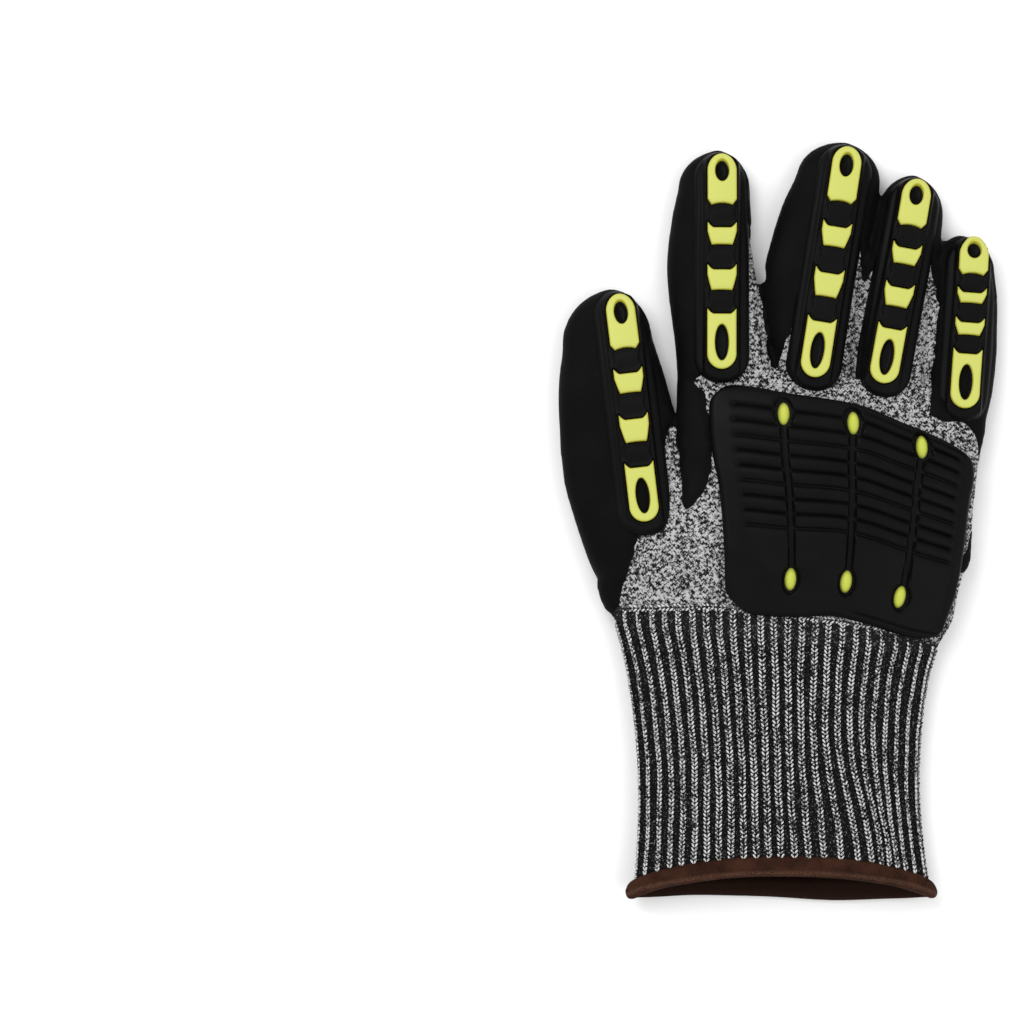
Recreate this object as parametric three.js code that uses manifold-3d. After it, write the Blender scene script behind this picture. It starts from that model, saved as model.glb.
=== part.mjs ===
// Impact resistant work glove for the right hand, lying palm down on a flat surface.
// A hollow knitted liner with five fingers and a ribbed cuff, a dipped palm coating, moulded
// guards on the back of the hand and of each finger, and a bound hem round the wrist opening.
// Millimetres: +X towards the little finger, +Y towards the fingertips, +Z up. The middle of
// the wrist is at X 0, Y 0 and the floor at Z 0 until the last lines centre the part.
import * as THREE from "three";
import { mergeVertices } from "three/addons/utils/BufferGeometryUtils.js";
import Module from "manifold-3d";

// Walls and gaps
const knitWall = 1.5;
const coatThickness = 0.9;
const clearance = 0.3;

// A length to a tenth of a millimetre
const tenth = (value) => Math.round(10 * value) / 10;

// Hand: width across the knuckles, length from wrist to finger roots, half its height, and
// how much the wrist's line rises towards the thumb for each millimetre across
const handWidth = 106;
const handLength = 93;
const handHalfHeight = 10.5;
const wristSlope = 0.09;

// Cuff and the hem bound round its edge
const cuffLength = 83;
const cuffWidth = 97;
const cuffHalfHeight = 8.4;
const cuffWall = 1.5;
const ribCount = 50;
const ribDepth = 0.9;
const mouthWidth = 101;
const mouthHeight = 21;
const mouthSetback = 7;
const mouthShift = 2;
const hemLength = 7;
const hemThickness = 4.2;
const hemSpread = 2.4;

// Fingers: length from the root, width, and half the height of the index finger
const thumbLength = 112.6;
const thumbWidth = tenth(0.3396 * handWidth);
const indexLength = 92;
const indexWidth = tenth(0.283 * handWidth);
const middleLength = 97.7;
const middleWidth = tenth(0.3113 * handWidth);
const ringLength = 90;
const ringWidth = tenth(0.2264 * handWidth);
const littleLength = 76.7;
const littleWidth = tenth(0.2264 * handWidth);
const fingerHalfHeight = 7;

// Guards on the fingers: a black strip, a rail down its middle and bright inserts in the rail
const guardWidth = 19.2;
const guardRim = 1.9;
const railWidth = 12.2;
const railHeight = 2.9;
const insertWidth = 10;
const insertHeight = 3.6;
const insertSeat = 1.5;
const insertEar = 2;
const baseStart = 4.6;
const baseLength = 20.8;
const baseHoleLength = 12.4;
const baseHolePlace = 0.43;
const tipHoleShare = 0.42;
const tipHolePlace = 0.69;
const holeWidth = 4.8;

// Guard on the back of the hand
const plateWidth = 90;
const plateLength = 77;
const plateThickness = 3.3;
const plateEdgeShare = 0.55;
const platePlaceX = tenth(0.1868 * handWidth);
const platePlaceY = tenth(0.9194 * handLength);
const grooveCount = 9;
const firstGroove = 6.4;
const groovePitch = 5;
const grooveWidth = 1.8;
const grooveDepth = 1.3;
const channelWidth = 2.8;
const channelDepth = 1.6;
const studWidth = 4.2;
const studLength = 8;
const studHeight = 3.9;
const studSunk = 2;
const studCrown = 0.7;

// Fingers. x and y are the root's place in shares of the hand's width and length, height is a
// share of the index finger's, and lean turns the finger towards the little finger, in degrees.
// guard tells where its strip lies: from and to in shares of the finger's length, and its
// sideways shift at both ends in shares of its width. knit tells how far up the bare knit beside
// it leaves the finger's edge, and how far up it ends, in shares of the strip's length.
// The rows are the finger's edges: shares of its length, and of its width from its own line.
// Beyond the last row the tip is rounded.
const fingerTable = [
  {
    name: "thumb", x: -0.4434, y: 0.086, length: thumbLength, width: thumbWidth, height: 1.1429, lean: -5.97,
    guard: { from: 0.2362, to: 0.9805, shiftFrom: 0.0889, shiftTo: 0.0611 }, knit: {},
    edges: [
      { along: 0, left: -0.08, right: 0.3 },
      { along: 0.13, left: -0.43, right: 0.42 },
      { along: 0.25, left: -0.54, right: 0.5 },
      { along: 0.46, left: -0.645, right: 0.53 },
      { along: 0.68, left: -0.615, right: 0.45 },
      { along: 0.84, left: -0.52, right: 0.35 },
    ],
  },
  {
    name: "index", x: -0.17925, y: 0.8172, length: indexLength, width: indexWidth, height: 1, lean: -1.7,
    guard: { from: 0.1217, to: 0.9804, shiftFrom: -0.06, shiftTo: 0.0333 },
    knit: { right: [0.4554, 0.6705] },
    edges: [
      { along: 0, left: -0.56, right: 0.6 },
      { along: 0.18, left: -0.55, right: 0.568 },
      { along: 0.55, left: -0.632, right: 0.425 },
      { along: 0.74, left: -0.563, right: 0.365 },
      { along: 0.86, left: -0.473, right: 0.36 },
    ],
  },
  {
    name: "middle", x: 0.07547, y: 0.7957, length: middleLength, width: middleWidth, height: 1.0286, lean: 8.5,
    guard: { from: 0.1085, to: 0.9826, shiftFrom: -0.0061, shiftTo: 0.0273 },
    knit: { left: [0.0937, 0.3513], right: [0.3981, 0.6088] },
    edges: [
      { along: 0, left: -0.26, right: 0.47 },
      { along: 0.19, left: -0.388, right: 0.43 },
      { along: 0.5, left: -0.65, right: 0.39 },
      { along: 0.72, left: -0.58, right: 0.41 },
      { along: 0.87, left: -0.46, right: 0.43 },
    ],
  },
  {
    name: "ring", x: 0.3302, y: 0.7527, length: ringLength, width: ringWidth, height: 0.9714, lean: 7.1,
    guard: { from: 0.1333, to: 0.98, shiftFrom: -0.15, shiftTo: 0.05 }, knit: { right: [0.4453, 0.6549] },
    edges: [
      { along: 0, left: -0.42, right: 0.5 },
      { along: 0.18, left: -0.505, right: 0.535 },
      { along: 0.43, left: -0.523, right: 0.49 },
      { along: 0.67, left: -0.53, right: 0.5 },
      { along: 0.86, left: -0.46, right: 0.49 },
    ],
  },
  {
    name: "little", x: 0.5802, y: 0.6667, length: littleLength, width: littleWidth, height: 0.9143, lean: 0.3,
    guard: { from: 0.1512, to: 0.9726, shiftFrom: 0, shiftTo: 0.1833 }, knit: {},
    edges: [
      { along: 0, left: -0.4, right: 0.2 },
      { along: 0.29, left: -0.487, right: 0.48 },
      { along: 0.5, left: -0.452, right: 0.546 },
      { along: 0.68, left: -0.422, right: 0.548 },
      { along: 0.85, left: -0.352, right: 0.5 },
    ],
  },
];

// The same fingers with their places and heights in millimetres, to a tenth
const fingers = fingerTable.map((row) => ({
  ...row,
  x: tenth(row.x * handWidth),
  y: tenth(row.y * handLength),
  halfHeight: tenth(row.height * fingerHalfHeight),
}));

// Where the sections of a rounded fingertip lie, as shares of the way from its last edges row
const tipSections = [0.55, 0.88, 1];

// A finger's height: shares of its length and of its half height
const fingerHeights = [
  { along: 0, height: 0.8 },
  { along: 0.16, height: 1.1 },
  { along: 0.4, height: 1 },
  { along: 0.7, height: 0.96 },
  { along: 0.86, height: 0.84 },
  { along: 0.95, height: 0.68 },
  { along: 1, height: 0.46 },
];

// The hand's edges: shares of its length and width for the left and the right end of each
// section, and of its half height
const handSections = [
  { leftAlong: 0.055, left: -0.553, rightAlong: -0.055, right: 0.515, height: 0.84 },
  { leftAlong: 0.2, left: -0.6, rightAlong: 0.1, right: 0.578, height: 0.92 },
  { leftAlong: 0.41, left: -0.5, rightAlong: 0.32, right: 0.623, height: 1 },
  { leftAlong: 0.61, left: -0.39, rightAlong: 0.52, right: 0.64, height: 1 },
  { leftAlong: 0.8, left: -0.345, rightAlong: 0.7, right: 0.658, height: 0.95 },
  { leftAlong: 0.94, left: -0.34, rightAlong: 0.83, right: 0.672, height: 0.8 },
  { leftAlong: 1.02, left: -0.31, rightAlong: 0.9, right: 0.655, height: 0.56 },
];

// Bare knit on the back of the hand, inside this outline: shares of the hand's width and length
const knitOutline = [
  { across: -0.469, along: -0.3 },
  { across: -0.469, along: 0.375 },
  { across: -0.4, along: 0.39 },
  { across: -0.335, along: 0.48 },
  { across: -0.24, along: 0.58 },
  { across: -0.243, along: 0.73 },
  { across: -0.25, along: 0.88 },
  { across: -0.28, along: 0.95 },
  { across: -0.18, along: 1 },
  { across: -0.05, along: 0.985 },
  { across: 0.1, along: 1.08 },
  { across: 0.4, along: 1.08 },
  { across: 0.425, along: 0.87 },
  { across: 0.5, along: 0.8 },
  { across: 0.6, along: 0.78 },
  { across: 0.64, along: 0.65 },
  { across: 0.62, along: 0.4 },
  { across: 0.585, along: 0.24 },
  { across: 0.8, along: 0.22 },
  { across: 0.8, along: -0.3 },
];

// The liner is knitted in three sections: the four fingers with the upper hand, the thumb, and the
// lower hand. Their joins lie at these shares of the hand's length, and the parting between the
// thumb and the rest follows these shares of its width and length.
const fingersJoin = 0.72;
const thumbJoin = 0.46;
const parting = [
  { across: -0.355, along: 0.89 },
  { across: -0.38, along: 1.08 },
  { across: -0.395, along: 1.4 },
];

// The hand guard's side edges: shares of its length down from the fingers, and of its width
const plateSides = [
  { down: 0, left: -0.485, right: 0.47 },
  { down: 0.03, left: -0.497, right: 0.495 },
  { down: 0.1, left: -0.5, right: 0.5 },
  { down: 0.27, left: -0.49, right: 0.482 },
  { down: 0.45, left: -0.465, right: 0.468 },
  { down: 0.75, left: -0.447, right: 0.435 },
  { down: 0.92, left: -0.443, right: 0.395 },
  { down: 0.975, left: -0.43, right: 0.38 },
  { down: 1, left: -0.4, right: 0.36 },
];

// Its top and bottom edges: shares of the way across, and of its length down from its place
const plateEnds = [
  { across: 0, top: 0.03, bottom: 0.955 },
  { across: 0.08, top: 0, bottom: 1.01 },
  { across: 0.28, top: 0.03, bottom: 1.02 },
  { across: 0.46, top: 0.058, bottom: 1.015 },
  { across: 0.58, top: 0.084, bottom: 1.035 },
  { across: 0.73, top: 0.152, bottom: 1.075 },
  { across: 0.86, top: 0.21, bottom: 1.11 },
  { across: 0.95, top: 0.262, bottom: 1.12 },
  { across: 1, top: 0.31, bottom: 1.095 },
];

// Three channels run down the plate between two studs each: shares of the way across
const channels = [
  { upper: 0.278, lower: 0.29 },
  { upper: 0.543, lower: 0.53 },
  { upper: 0.806, lower: 0.763 },
];
const studDown = { upper: 0.093, lower: 0.83 };

const skin = coatThickness + clearance;
const floorShare = 0.8;
const fingerPoints = 10;
const handPoints = 16;
const hollowPoints = 8;
const ovalPoints = 8;
const squareness = 2.3;
const deep = 40;
const wide = 400;

const wasm = await Module();
wasm.setup();

const finish = (color, roughness) => new THREE.MeshStandardMaterial({ color, roughness, metalness: 0 });
const finishes = {
  knit: finish(0x8b8b8b, 0.95),
  rib: finish(0x5c5c5c, 0.95),
  coating: finish(0x121212, 0.6),
  hem: finish(0x2e1c14, 0.9),
  guard: finish(0x101010, 0.55),
  insert: finish(0xd7dc55, 0.5),
};

const mix = (a, b, t) => a + (b - a) * t;
const power = (value, exponent) => Math.sign(value) * Math.abs(value) ** exponent;
const vec2 = (x, y) => new THREE.Vector2(x, y);

// The value of one column of a table at a place along another, between its rows
function readTable(rows, key, column, place) {
  const found = rows.findIndex((row) => row[key] >= place);
  const i = Math.max(1, found < 0 ? rows.length - 1 : found);
  const t = (place - rows[i - 1][key]) / (rows[i][key] - rows[i - 1][key]);
  return mix(rows[i - 1][column], rows[i][column], THREE.MathUtils.clamp(t, 0, 1));
}

// A closed geometry as a solid, its faces turned outwards
function solidOf(geometry) {
  const bare = geometry.index ? geometry.toNonIndexed() : geometry;
  const positions = new THREE.BufferGeometry().setAttribute("position", bare.getAttribute("position"));
  const merged = mergeVertices(positions, 1e-4);
  const vertProperties = merged.attributes.position.array;
  const build = (triVerts) => new wasm.Manifold(new wasm.Mesh({ numProp: 3, vertProperties, triVerts }));
  const triVerts = new Uint32Array(merged.index.array);
  const made = build(triVerts);
  return made.volume() >= 0 ? made : build(triVerts.slice().reverse());
}

// A solid's skin, without the triangles whose corners meet
function geometryOf(solid) {
  const { vertProperties, triVerts } = solid.getMesh();
  const skinned = new THREE.BufferGeometry()
    .setAttribute("position", new THREE.BufferAttribute(vertProperties, 3))
    .setIndex(new THREE.BufferAttribute(triVerts, 1));
  const merged = mergeVertices(skinned, 1e-4);
  const corners = merged.index.array;
  const faces = [];
  for (let i = 0; i < corners.length; i += 3) {
    const [a, b, c] = corners.slice(i, i + 3);
    if (a !== b && b !== c && c !== a) faces.push(a, b, c);
  }
  return merged.setIndex(faces);
}

// A skin through rings of the same number of points, each end closed by a zigzag strip
function loft(rings) {
  const n = rings[0].length;
  const faces = [];
  for (let r = 0; r < rings.length - 1; r++)
    for (let i = 0; i < n; i++) {
      const a = r * n + i;
      const b = r * n + ((i + 1) % n);
      faces.push(a, b, a + n, b, b + n, a + n);
    }
  const last = (rings.length - 1) * n;
  for (let i = 0; i < n / 2 - 1; i++) {
    const [a, b, c, d] = [i, i + 1, n - 2 - i, n - 1 - i];
    faces.push(a, d, b);
    faces.push(last + a, last + b, last + d);
    if (b === c) continue;
    faces.push(b, d, c);
    faces.push(last + b, last + c, last + d);
  }
  return solidOf(new THREE.BufferGeometry().setFromPoints(rings.flat()).setIndex(faces));
}

// A plan outline pulled up from one height to another
function prism(points, low, high) {
  const depth = high - low;
  const geometry = new THREE.ExtrudeGeometry(new THREE.Shape(points), { depth, bevelEnabled: false });
  return solidOf(geometry.translate(0, 0, low));
}

const centreHeight = (halfHeight) => skin + floorShare * halfHeight;

// An upright oval ring round a middle point, along a direction in plan, flat where it rests
function ovalRing(size, across, grow, count) {
  return Array.from({ length: count }, (_, i) => {
    const angle = (2 * Math.PI * i) / count;
    const u = (size.halfWidth + grow) * power(Math.cos(angle), 2 / squareness);
    const w = (size.halfHeight + grow) * power(Math.sin(angle), 2 / squareness);
    const height = Math.max(skin - grow, centreHeight(size.halfHeight) + w);
    return new THREE.Vector3(size.middle.x + u * across.x, size.middle.y + u * across.y, height);
  });
}

// Height of an oval's upper side, off its middle by a share of its half width
function crown(halfHeight, share) {
  const off = Math.min(0.97, Math.abs(share));
  return centreHeight(halfHeight) + halfHeight * (1 - off ** squareness) ** (1 / squareness);
}

function fingerDirections(finger) {
  const lean = THREE.MathUtils.degToRad(finger.lean);
  return { along: vec2(Math.sin(lean), Math.cos(lean)), across: vec2(Math.cos(lean), -Math.sin(lean)) };
}

// A finger's section at a share of its length. Its edges are those of the coated finger, so the
// knit lies a skin inside them.
function fingerSize(finger, share) {
  const { along, across } = fingerDirections(finger);
  const lastRow = finger.edges[finger.edges.length - 1].along;
  const round = Math.max(0, (share - lastRow) / (1 - lastRow));
  const blunt = 0.015;
  const narrowing = Math.sqrt(Math.max(blunt, 1 - round ** 2)) * finger.width;
  const left = readTable(finger.edges, "along", "left", share) * narrowing;
  const right = readTable(finger.edges, "along", "right", share) * narrowing;
  const middle = vec2(finger.x, finger.y)
    .addScaledVector(along, share * finger.length)
    .addScaledVector(across, (left + right) / 2);
  const halfWidth = Math.max(0.9, (right - left) / 2 - skin);
  const halfHeight = finger.halfHeight * readTable(fingerHeights, "along", "height", share);
  return { middle, shift: (left + right) / 2, halfWidth, halfHeight };
}

function fingerSolid(finger, grow, count) {
  const { along, across } = fingerDirections(finger);
  const lastRow = finger.edges[finger.edges.length - 1].along;
  const places = [...finger.edges.map((row) => row.along), ...tipSections.map((t) => mix(lastRow, 1, t))];
  const rings = places.map((place) => {
    const size = fingerSize(finger, place);
    size.middle.addScaledVector(along, (grow - skin) * Math.max(0, place - 0.5) * 2);
    return ovalRing(size, across, grow, count);
  });
  return loft(rings);
}

function handSize(row) {
  const left = vec2(row.left * handWidth + skin, row.leftAlong * handLength);
  const right = vec2(row.right * handWidth - skin, row.rightAlong * handLength);
  const across = right.clone().sub(left);
  const halfWidth = across.length() / 2;
  const middle = left.add(right).divideScalar(2);
  const halfHeight = row.height * handHalfHeight;
  return { middle, halfWidth, across: across.normalize(), halfHeight };
}

function handSolid(grow, overrun, count) {
  const sizes = handSections.map(handSize);
  sizes[sizes.length - 1].middle.y += grow;
  if (overrun > 0) {
    const first = { ...sizes[0], middle: sizes[0].middle.clone() };
    first.middle.y -= overrun;
    sizes.unshift(first);
  }
  return loft(sizes.map((size) => ovalRing(size, size.across, grow, count)));
}

// The whole hand, grown or shrunk all round
function gloveSolid(grow, overrun, count) {
  const parts = fingers.map((finger) => fingerSolid(finger, grow, count));
  const around = handPoints + count - fingerPoints;
  return parts.reduce((sum, part) => sum.add(part), handSolid(grow, overrun, around));
}

function fingerTop(finger, x, y) {
  const { along, across } = fingerDirections(finger);
  const offset = vec2(x - finger.x, y - finger.y);
  const share = THREE.MathUtils.clamp(offset.dot(along) / finger.length, 0, 0.995);
  const { halfWidth, halfHeight, shift } = fingerSize(finger, share);
  return crown(halfHeight, (offset.dot(across) - shift) / halfWidth);
}

const handTable = handSections.map(handSize).map((size) => ({ ...size, x: size.middle.x, y: size.middle.y }));

function handTop(x, y) {
  const at = (column) => readTable(handTable, "y", column, y);
  return crown(at("halfHeight"), (x - at("x")) / at("halfWidth"));
}

// The point at a height above a curved surface, measured square to it
function raised(top, x, y, height) {
  const step = 0.5;
  const slopeX = (top(x + step, y) - top(x - step, y)) / (2 * step);
  const slopeY = (top(x, y + step) - top(x, y - step)) / (2 * step);
  const normal = new THREE.Vector3(-slopeX, -slopeY, 1).normalize();
  return new THREE.Vector3(x, y, top(x, y)).addScaledVector(normal, height);
}

// The straight line that a finger's guard follows, in plan
function guardLine(finger) {
  const { along, across } = fingerDirections(finger);
  const place = (share, shift) =>
    vec2(finger.x, finger.y)
      .addScaledVector(along, share * finger.length)
      .addScaledVector(across, shift * finger.width);
  const start = place(finger.guard.from, finger.guard.shiftFrom);
  const end = place(finger.guard.to, finger.guard.shiftTo);
  const forward = end.clone().sub(start).normalize();
  const at = (distance, sideways) =>
    start.clone().addScaledVector(forward, distance).addScaledVector(vec2(forward.y, -forward.x), sideways);
  return { at, length: end.distanceTo(start) };
}

// A point on the guard's rail: straight across, and bent along the finger
function railPoint(finger, line, distance, sideways, height) {
  const centre = (d) => {
    const p = line.at(d, 0);
    return new THREE.Vector3(p.x, p.y, fingerTop(finger, p.x, p.y));
  };
  const step = 2.5;
  const here = centre(distance);
  const forward = centre(distance + step).sub(centre(distance - step)).normalize();
  const edge = line.at(distance, 1).sub(line.at(distance, 0));
  const right = new THREE.Vector3(edge.x, edge.y, 0);
  return here.addScaledVector(right, sideways).addScaledVector(right.clone().cross(forward), height);
}

// An outline of points across and along the rail, as a piece of it between two heights
function railPiece(finger, line, outline, holes, low, high) {
  const shape = new THREE.Shape(outline);
  shape.holes = holes.map((hole) => new THREE.Path(hole));
  const geometry = new THREE.ExtrudeGeometry(shape, { depth: 1, bevelEnabled: false });
  const position = geometry.getAttribute("position");
  for (let i = 0; i < position.count; i++) {
    const height = mix(low, high, position.getZ(i));
    const p = railPoint(finger, line, position.getY(i), position.getX(i), height);
    position.setXYZ(i, p.x, p.y, p.z);
  }
  return solidOf(geometry);
}

const ellipse = (centre, width, length, count) =>
  Array.from({ length: count }, (_, i) => {
    const angle = (2 * Math.PI * i) / count;
    return vec2(centre.x + (width / 2) * Math.cos(angle), centre.y + (length / 2) * Math.sin(angle));
  });

const arc = (y, radius, from, to, count) =>
  Array.from({ length: count }, (_, i) => {
    const angle = mix(from, to, i / (count - 1));
    return vec2(radius * Math.cos(angle), y + radius * Math.sin(angle));
  });

// The inserts above the base one: shares of the strip's length beyond the base insert
const insertPlaces = [
  { name: "lower", from: 0.11, to: 0.284 },
  { name: "upper", from: 0.4, to: 0.552 },
  { name: "tip", from: 0.655, to: 0.985 },
];

// Where an insert lies on its guard, and the hole in it
function insertPlace(finger, name) {
  const { length } = guardLine(finger);
  const baseEnd = baseStart + baseLength;
  if (name === "base") {
    const hole = mix(baseStart, baseEnd, baseHolePlace);
    return { low: baseStart, high: baseEnd, hole, holeLength: baseHoleLength };
  }
  const place = insertPlaces.find((row) => row.name === name);
  const [low, high] = [place.from, place.to].map((share) => mix(baseEnd, length, share));
  const holeLength = name === "tip" ? tipHoleShare * (high - low) : 0;
  return { low, high, hole: mix(low, high, tipHolePlace), holeLength };
}

// An insert's outline: ears at its upper corners and a narrowed or round foot, the tip one round above
function insertOutline(name, { low, high }, margin) {
  const half = insertWidth / 2 + margin;
  const [bottom, top] = [low - margin, high + margin];
  const waist = mix(bottom, top, 0.45);
  // A margin reaches further at the ears' sharp corners and less at the notch between them
  const notch = insertWidth * 0.35 - margin / 2;
  const earTip = high + 3 * margin;
  const ears = [
    vec2(half, earTip),
    vec2(notch, top - insertEar),
    vec2(-notch, top - insertEar),
    vec2(-half, earTip),
    vec2(-half, waist),
  ];
  const roundPoints = 7;
  if (name === "base")
    return [...arc(bottom + half, half, -Math.PI, 0, roundPoints), ...ears.slice(0, 4)];
  const footHalf = half * 0.68;
  const foot = [vec2(-footHalf, bottom), vec2(footHalf, bottom)];
  if (name !== "tip") return [...foot, vec2(half, waist), ...ears];
  const shoulder = bottom + insertEar;
  const crownArc = arc(top - half, half, 0, Math.PI, roundPoints);
  return [...foot, vec2(half, shoulder), ...crownArc, vec2(-half, shoulder)];
}

function insertSolid(finger, name) {
  const line = guardLine(finger);
  const place = insertPlace(finger, name);
  const hole = ellipse(vec2(0, place.hole), holeWidth, place.holeLength, ovalPoints);
  const holes = place.holeLength ? [hole] : [];
  const outline = insertOutline(name, place, 0);
  return railPiece(finger, line, outline, holes, insertSeat + clearance, insertHeight);
}

function insertPocket(finger, name) {
  const outline = insertOutline(name, insertPlace(finger, name), clearance);
  return railPiece(finger, guardLine(finger), outline, [], insertSeat, 2 * insertHeight);
}

// Half width of a strip with round ends, at a distance from its start
function roundEnded(distance, length, halfWidth) {
  const inside = Math.min(distance / halfWidth, (length - distance) / halfWidth, 1);
  return halfWidth * Math.sqrt(Math.max(0, 1 - (1 - inside) ** 2));
}

// The strip's two edges at its stations, kept on the finger where it is narrower than the strip
const stripStations = [0.004, 0.03, 0.1, 0.35, 0.6, 0.88, 0.965, 0.996];
function stripEdges(finger, margin) {
  const line = guardLine(finger);
  const { along, across } = fingerDirections(finger);
  return stripStations.map((station) => {
    const distance = mix(-margin, line.length + margin, station);
    const half = roundEnded(station * line.length, line.length, guardWidth / 2) + margin;
    const offset = line.at(distance, 0).sub(vec2(finger.x, finger.y));
    const size = fingerSize(finger, Math.min(0.99, offset.dot(along) / finger.length));
    const middle = size.shift - offset.dot(across);
    const limit = size.halfWidth + skin - clearance + margin;
    return { distance, left: Math.max(-half, middle - limit), right: Math.min(half, middle + limit) };
  });
}

// How low a finger's guard reaches down its flanks
const guardFloor = (finger) => 0.86 * centreHeight(finger.halfHeight);

const insertNames = ["base", "lower", "upper", "tip"];

// The strip with its rail as one skin, cut to the finger, with a pocket for each insert
function fingerGuard(finger, bed) {
  const line = guardLine(finger);
  const bevel = 0.8;
  const rim = 0.92;
  const rings = stripEdges(finger, 0).map(({ distance, left, right }) => {
    const onStrip = (sideways, height) => {
      const p = line.at(distance, sideways);
      return new THREE.Vector3(p.x, p.y, fingerTop(finger, p.x, p.y) + height);
    };
    const onRail = (sideways, height) => railPoint(finger, line, distance, sideways, height);
    const railLeft = Math.max(-railWidth / 2, left * 0.7);
    const railRight = Math.min(railWidth / 2, right * 0.7);
    const upper = [
      onStrip(left, guardRim * 0.5),
      onStrip(left * rim, guardRim),
      onRail(railLeft - bevel / 2, guardRim),
      onRail(railLeft + bevel / 2, railHeight),
      onRail(railRight - bevel / 2, railHeight),
      onRail(railRight + bevel / 2, guardRim),
      onStrip(right * rim, guardRim),
      onStrip(right, guardRim * 0.5),
    ];
    const foot = (p) => new THREE.Vector3(p.x, p.y, guardFloor(finger));
    return [...upper, ...upper.map(foot).reverse()];
  });
  const trim = 0.04;
  const body = loft(rings).subtract(bed).intersect(guardRoom(finger, trim, guardFloor(finger) + clearance));
  return insertNames.reduce((rest, name) => rest.subtract(insertPocket(finger, name)), body);
}

// The upright room over a finger's strip, with a margin all round, from a height up
function guardRoom(finger, margin, low) {
  const line = guardLine(finger);
  const edges = stripEdges(finger, margin);
  const left = edges.map(({ distance, left: sideways }) => line.at(distance, sideways));
  const right = edges.map(({ distance, right: sideways }) => line.at(distance, sideways));
  return prism([...left, ...right.reverse()], low, deep);
}

// A place on the hand guard in plan: across from 0 to 1, down from the fingers' edge to the cuff's
function platePlan(across, down) {
  const left = readTable(plateSides, "down", "left", down) * plateWidth;
  const right = readTable(plateSides, "down", "right", down) * plateWidth;
  const top = readTable(plateEnds, "across", "top", across) * plateLength;
  const bottom = readTable(plateEnds, "across", "bottom", across) * plateLength;
  return vec2(platePlaceX + mix(left, right, across), platePlaceY - mix(top, bottom, down));
}

// The plate's columns of points: its edges, its bevels, and the banks and bed of each channel
function plateColumns(down) {
  const bank = channelWidth / plateWidth / 2;
  const columns = [{ across: 0, edge: true }, { across: 0.03 }, { across: 0.09, bay: true }];
  for (const { upper, lower } of channels) {
    const bed = mix(upper, lower, down);
    columns.push({ across: bed - bank, bay: true }, { across: bed, bay: true, channel: true });
    columns.push({ across: bed + bank, bay: true });
  }
  columns.push({ across: 0.93, bay: true }, { across: 0.975 }, { across: 1, edge: true });
  return columns;
}

function plateRows() {
  const rows = [{ down: 0, edge: true }, { down: 0.022 }];
  for (let i = 0; i < grooveCount; i++) {
    const centre = firstGroove + i * groovePitch;
    rows.push({ down: (centre - grooveWidth / 2) / plateLength });
    rows.push({ down: centre / plateLength, groove: true });
    rows.push({ down: (centre + grooveWidth / 2) / plateLength });
  }
  rows.push({ down: studDown.lower }, { down: 0.93 }, { down: 0.98 }, { down: 1, edge: true });
  return rows;
}

function handGuard(bed) {
  const under = -4;
  const rings = plateRows().map((row) => {
    const columns = plateColumns(row.down);
    const height = (column) => {
      if (row.edge || column.edge) return plateThickness * plateEdgeShare;
      const inGroove = row.groove && column.bay;
      const inChannel = column.channel && row.down > studDown.upper && row.down < studDown.lower;
      return plateThickness - Math.max(inGroove ? grooveDepth : 0, inChannel ? channelDepth : 0);
    };
    const at = (column, lift) => {
      const p = platePlan(column.across, row.down);
      return raised(handTop, p.x, p.y, lift);
    };
    const upper = columns.map((column) => at(column, height(column)));
    const lower = columns.map((column) => at(column, under));
    return [...upper, ...lower.reverse()];
  });
  return loft(rings).subtract(bed);
}

// An oval stud at an end of a channel, or the socket that it sits in
function studSolid(channel, end, margin, low, high, crownShare) {
  const down = studDown[end];
  const across = mix(channel.upper, channel.lower, down);
  const centre = platePlan(across, down);
  const forward = platePlan(across, down - 0.04).sub(centre).normalize();
  const oval = ellipse(vec2(0, 0), studWidth + 2 * margin, studLength + 2 * margin, ovalPoints);
  const ring = (height, share) =>
    oval.map(({ x: sideways, y: ahead }) => {
      const p = centre.clone().addScaledVector(forward, ahead * share);
      p.addScaledVector(vec2(forward.y, -forward.x), sideways * share);
      return raised(handTop, p.x, p.y, height);
    });
  return loft([ring(low, 1), ring(high, crownShare)]);
}

// The cuff's size down its length: 1 is the wrist's own size, 0 the cuff's
const cuffSections = [
  { down: 0, wrist: 1 },
  { down: 0.08, wrist: 0.72 },
  { down: 0.2, wrist: 0.42 },
  { down: 0.35, wrist: 0.18 },
  { down: 0.55, wrist: 0 },
];

// A point round the cuff: angle 0 is the little finger's side, and a quarter turn is the top
function cuffPoint(down, angle, grow, spread = 0) {
  const wrist = handSize(handSections[0]);
  const share = readTable(cuffSections, "down", "wrist", down);
  const flare = Math.max(0, (down - 0.6) / 0.4) ** 2;
  const halfWidth = mix(mix(cuffWidth / 2, wrist.halfWidth, share), mouthWidth / 2, flare);
  const halfHeight = mix(mix(cuffHalfHeight, wrist.halfHeight, share), mouthHeight / 2, flare);
  const lift = Math.sin(angle);
  const underSquareness = 3.4;
  const across = power(Math.cos(angle), 2 / squareness) * (halfWidth + grow) + spread * Math.cos(angle) ** 3;
  const up = lift < 0 ? power(lift, 2 / underSquareness) * (floorShare * halfHeight + grow)
    : power(lift, 2 / squareness) * (halfHeight + grow);
  const floor = mix(skin, hemOut, down);
  const setback = mouthSetback * power(Math.max(0, lift), 1.5) * Math.max(0, (down - 0.4) / 0.6);
  const slope = wristSlope * across * (1 - Math.min(1, down));
  const y = wrist.middle.y - clearance - slope - down * cuffLength + setback;
  const drift = mouthShift * Math.min(1, down);
  return new THREE.Vector3(wrist.middle.x + drift + across, y, floor + floorShare * halfHeight + up);
}

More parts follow.
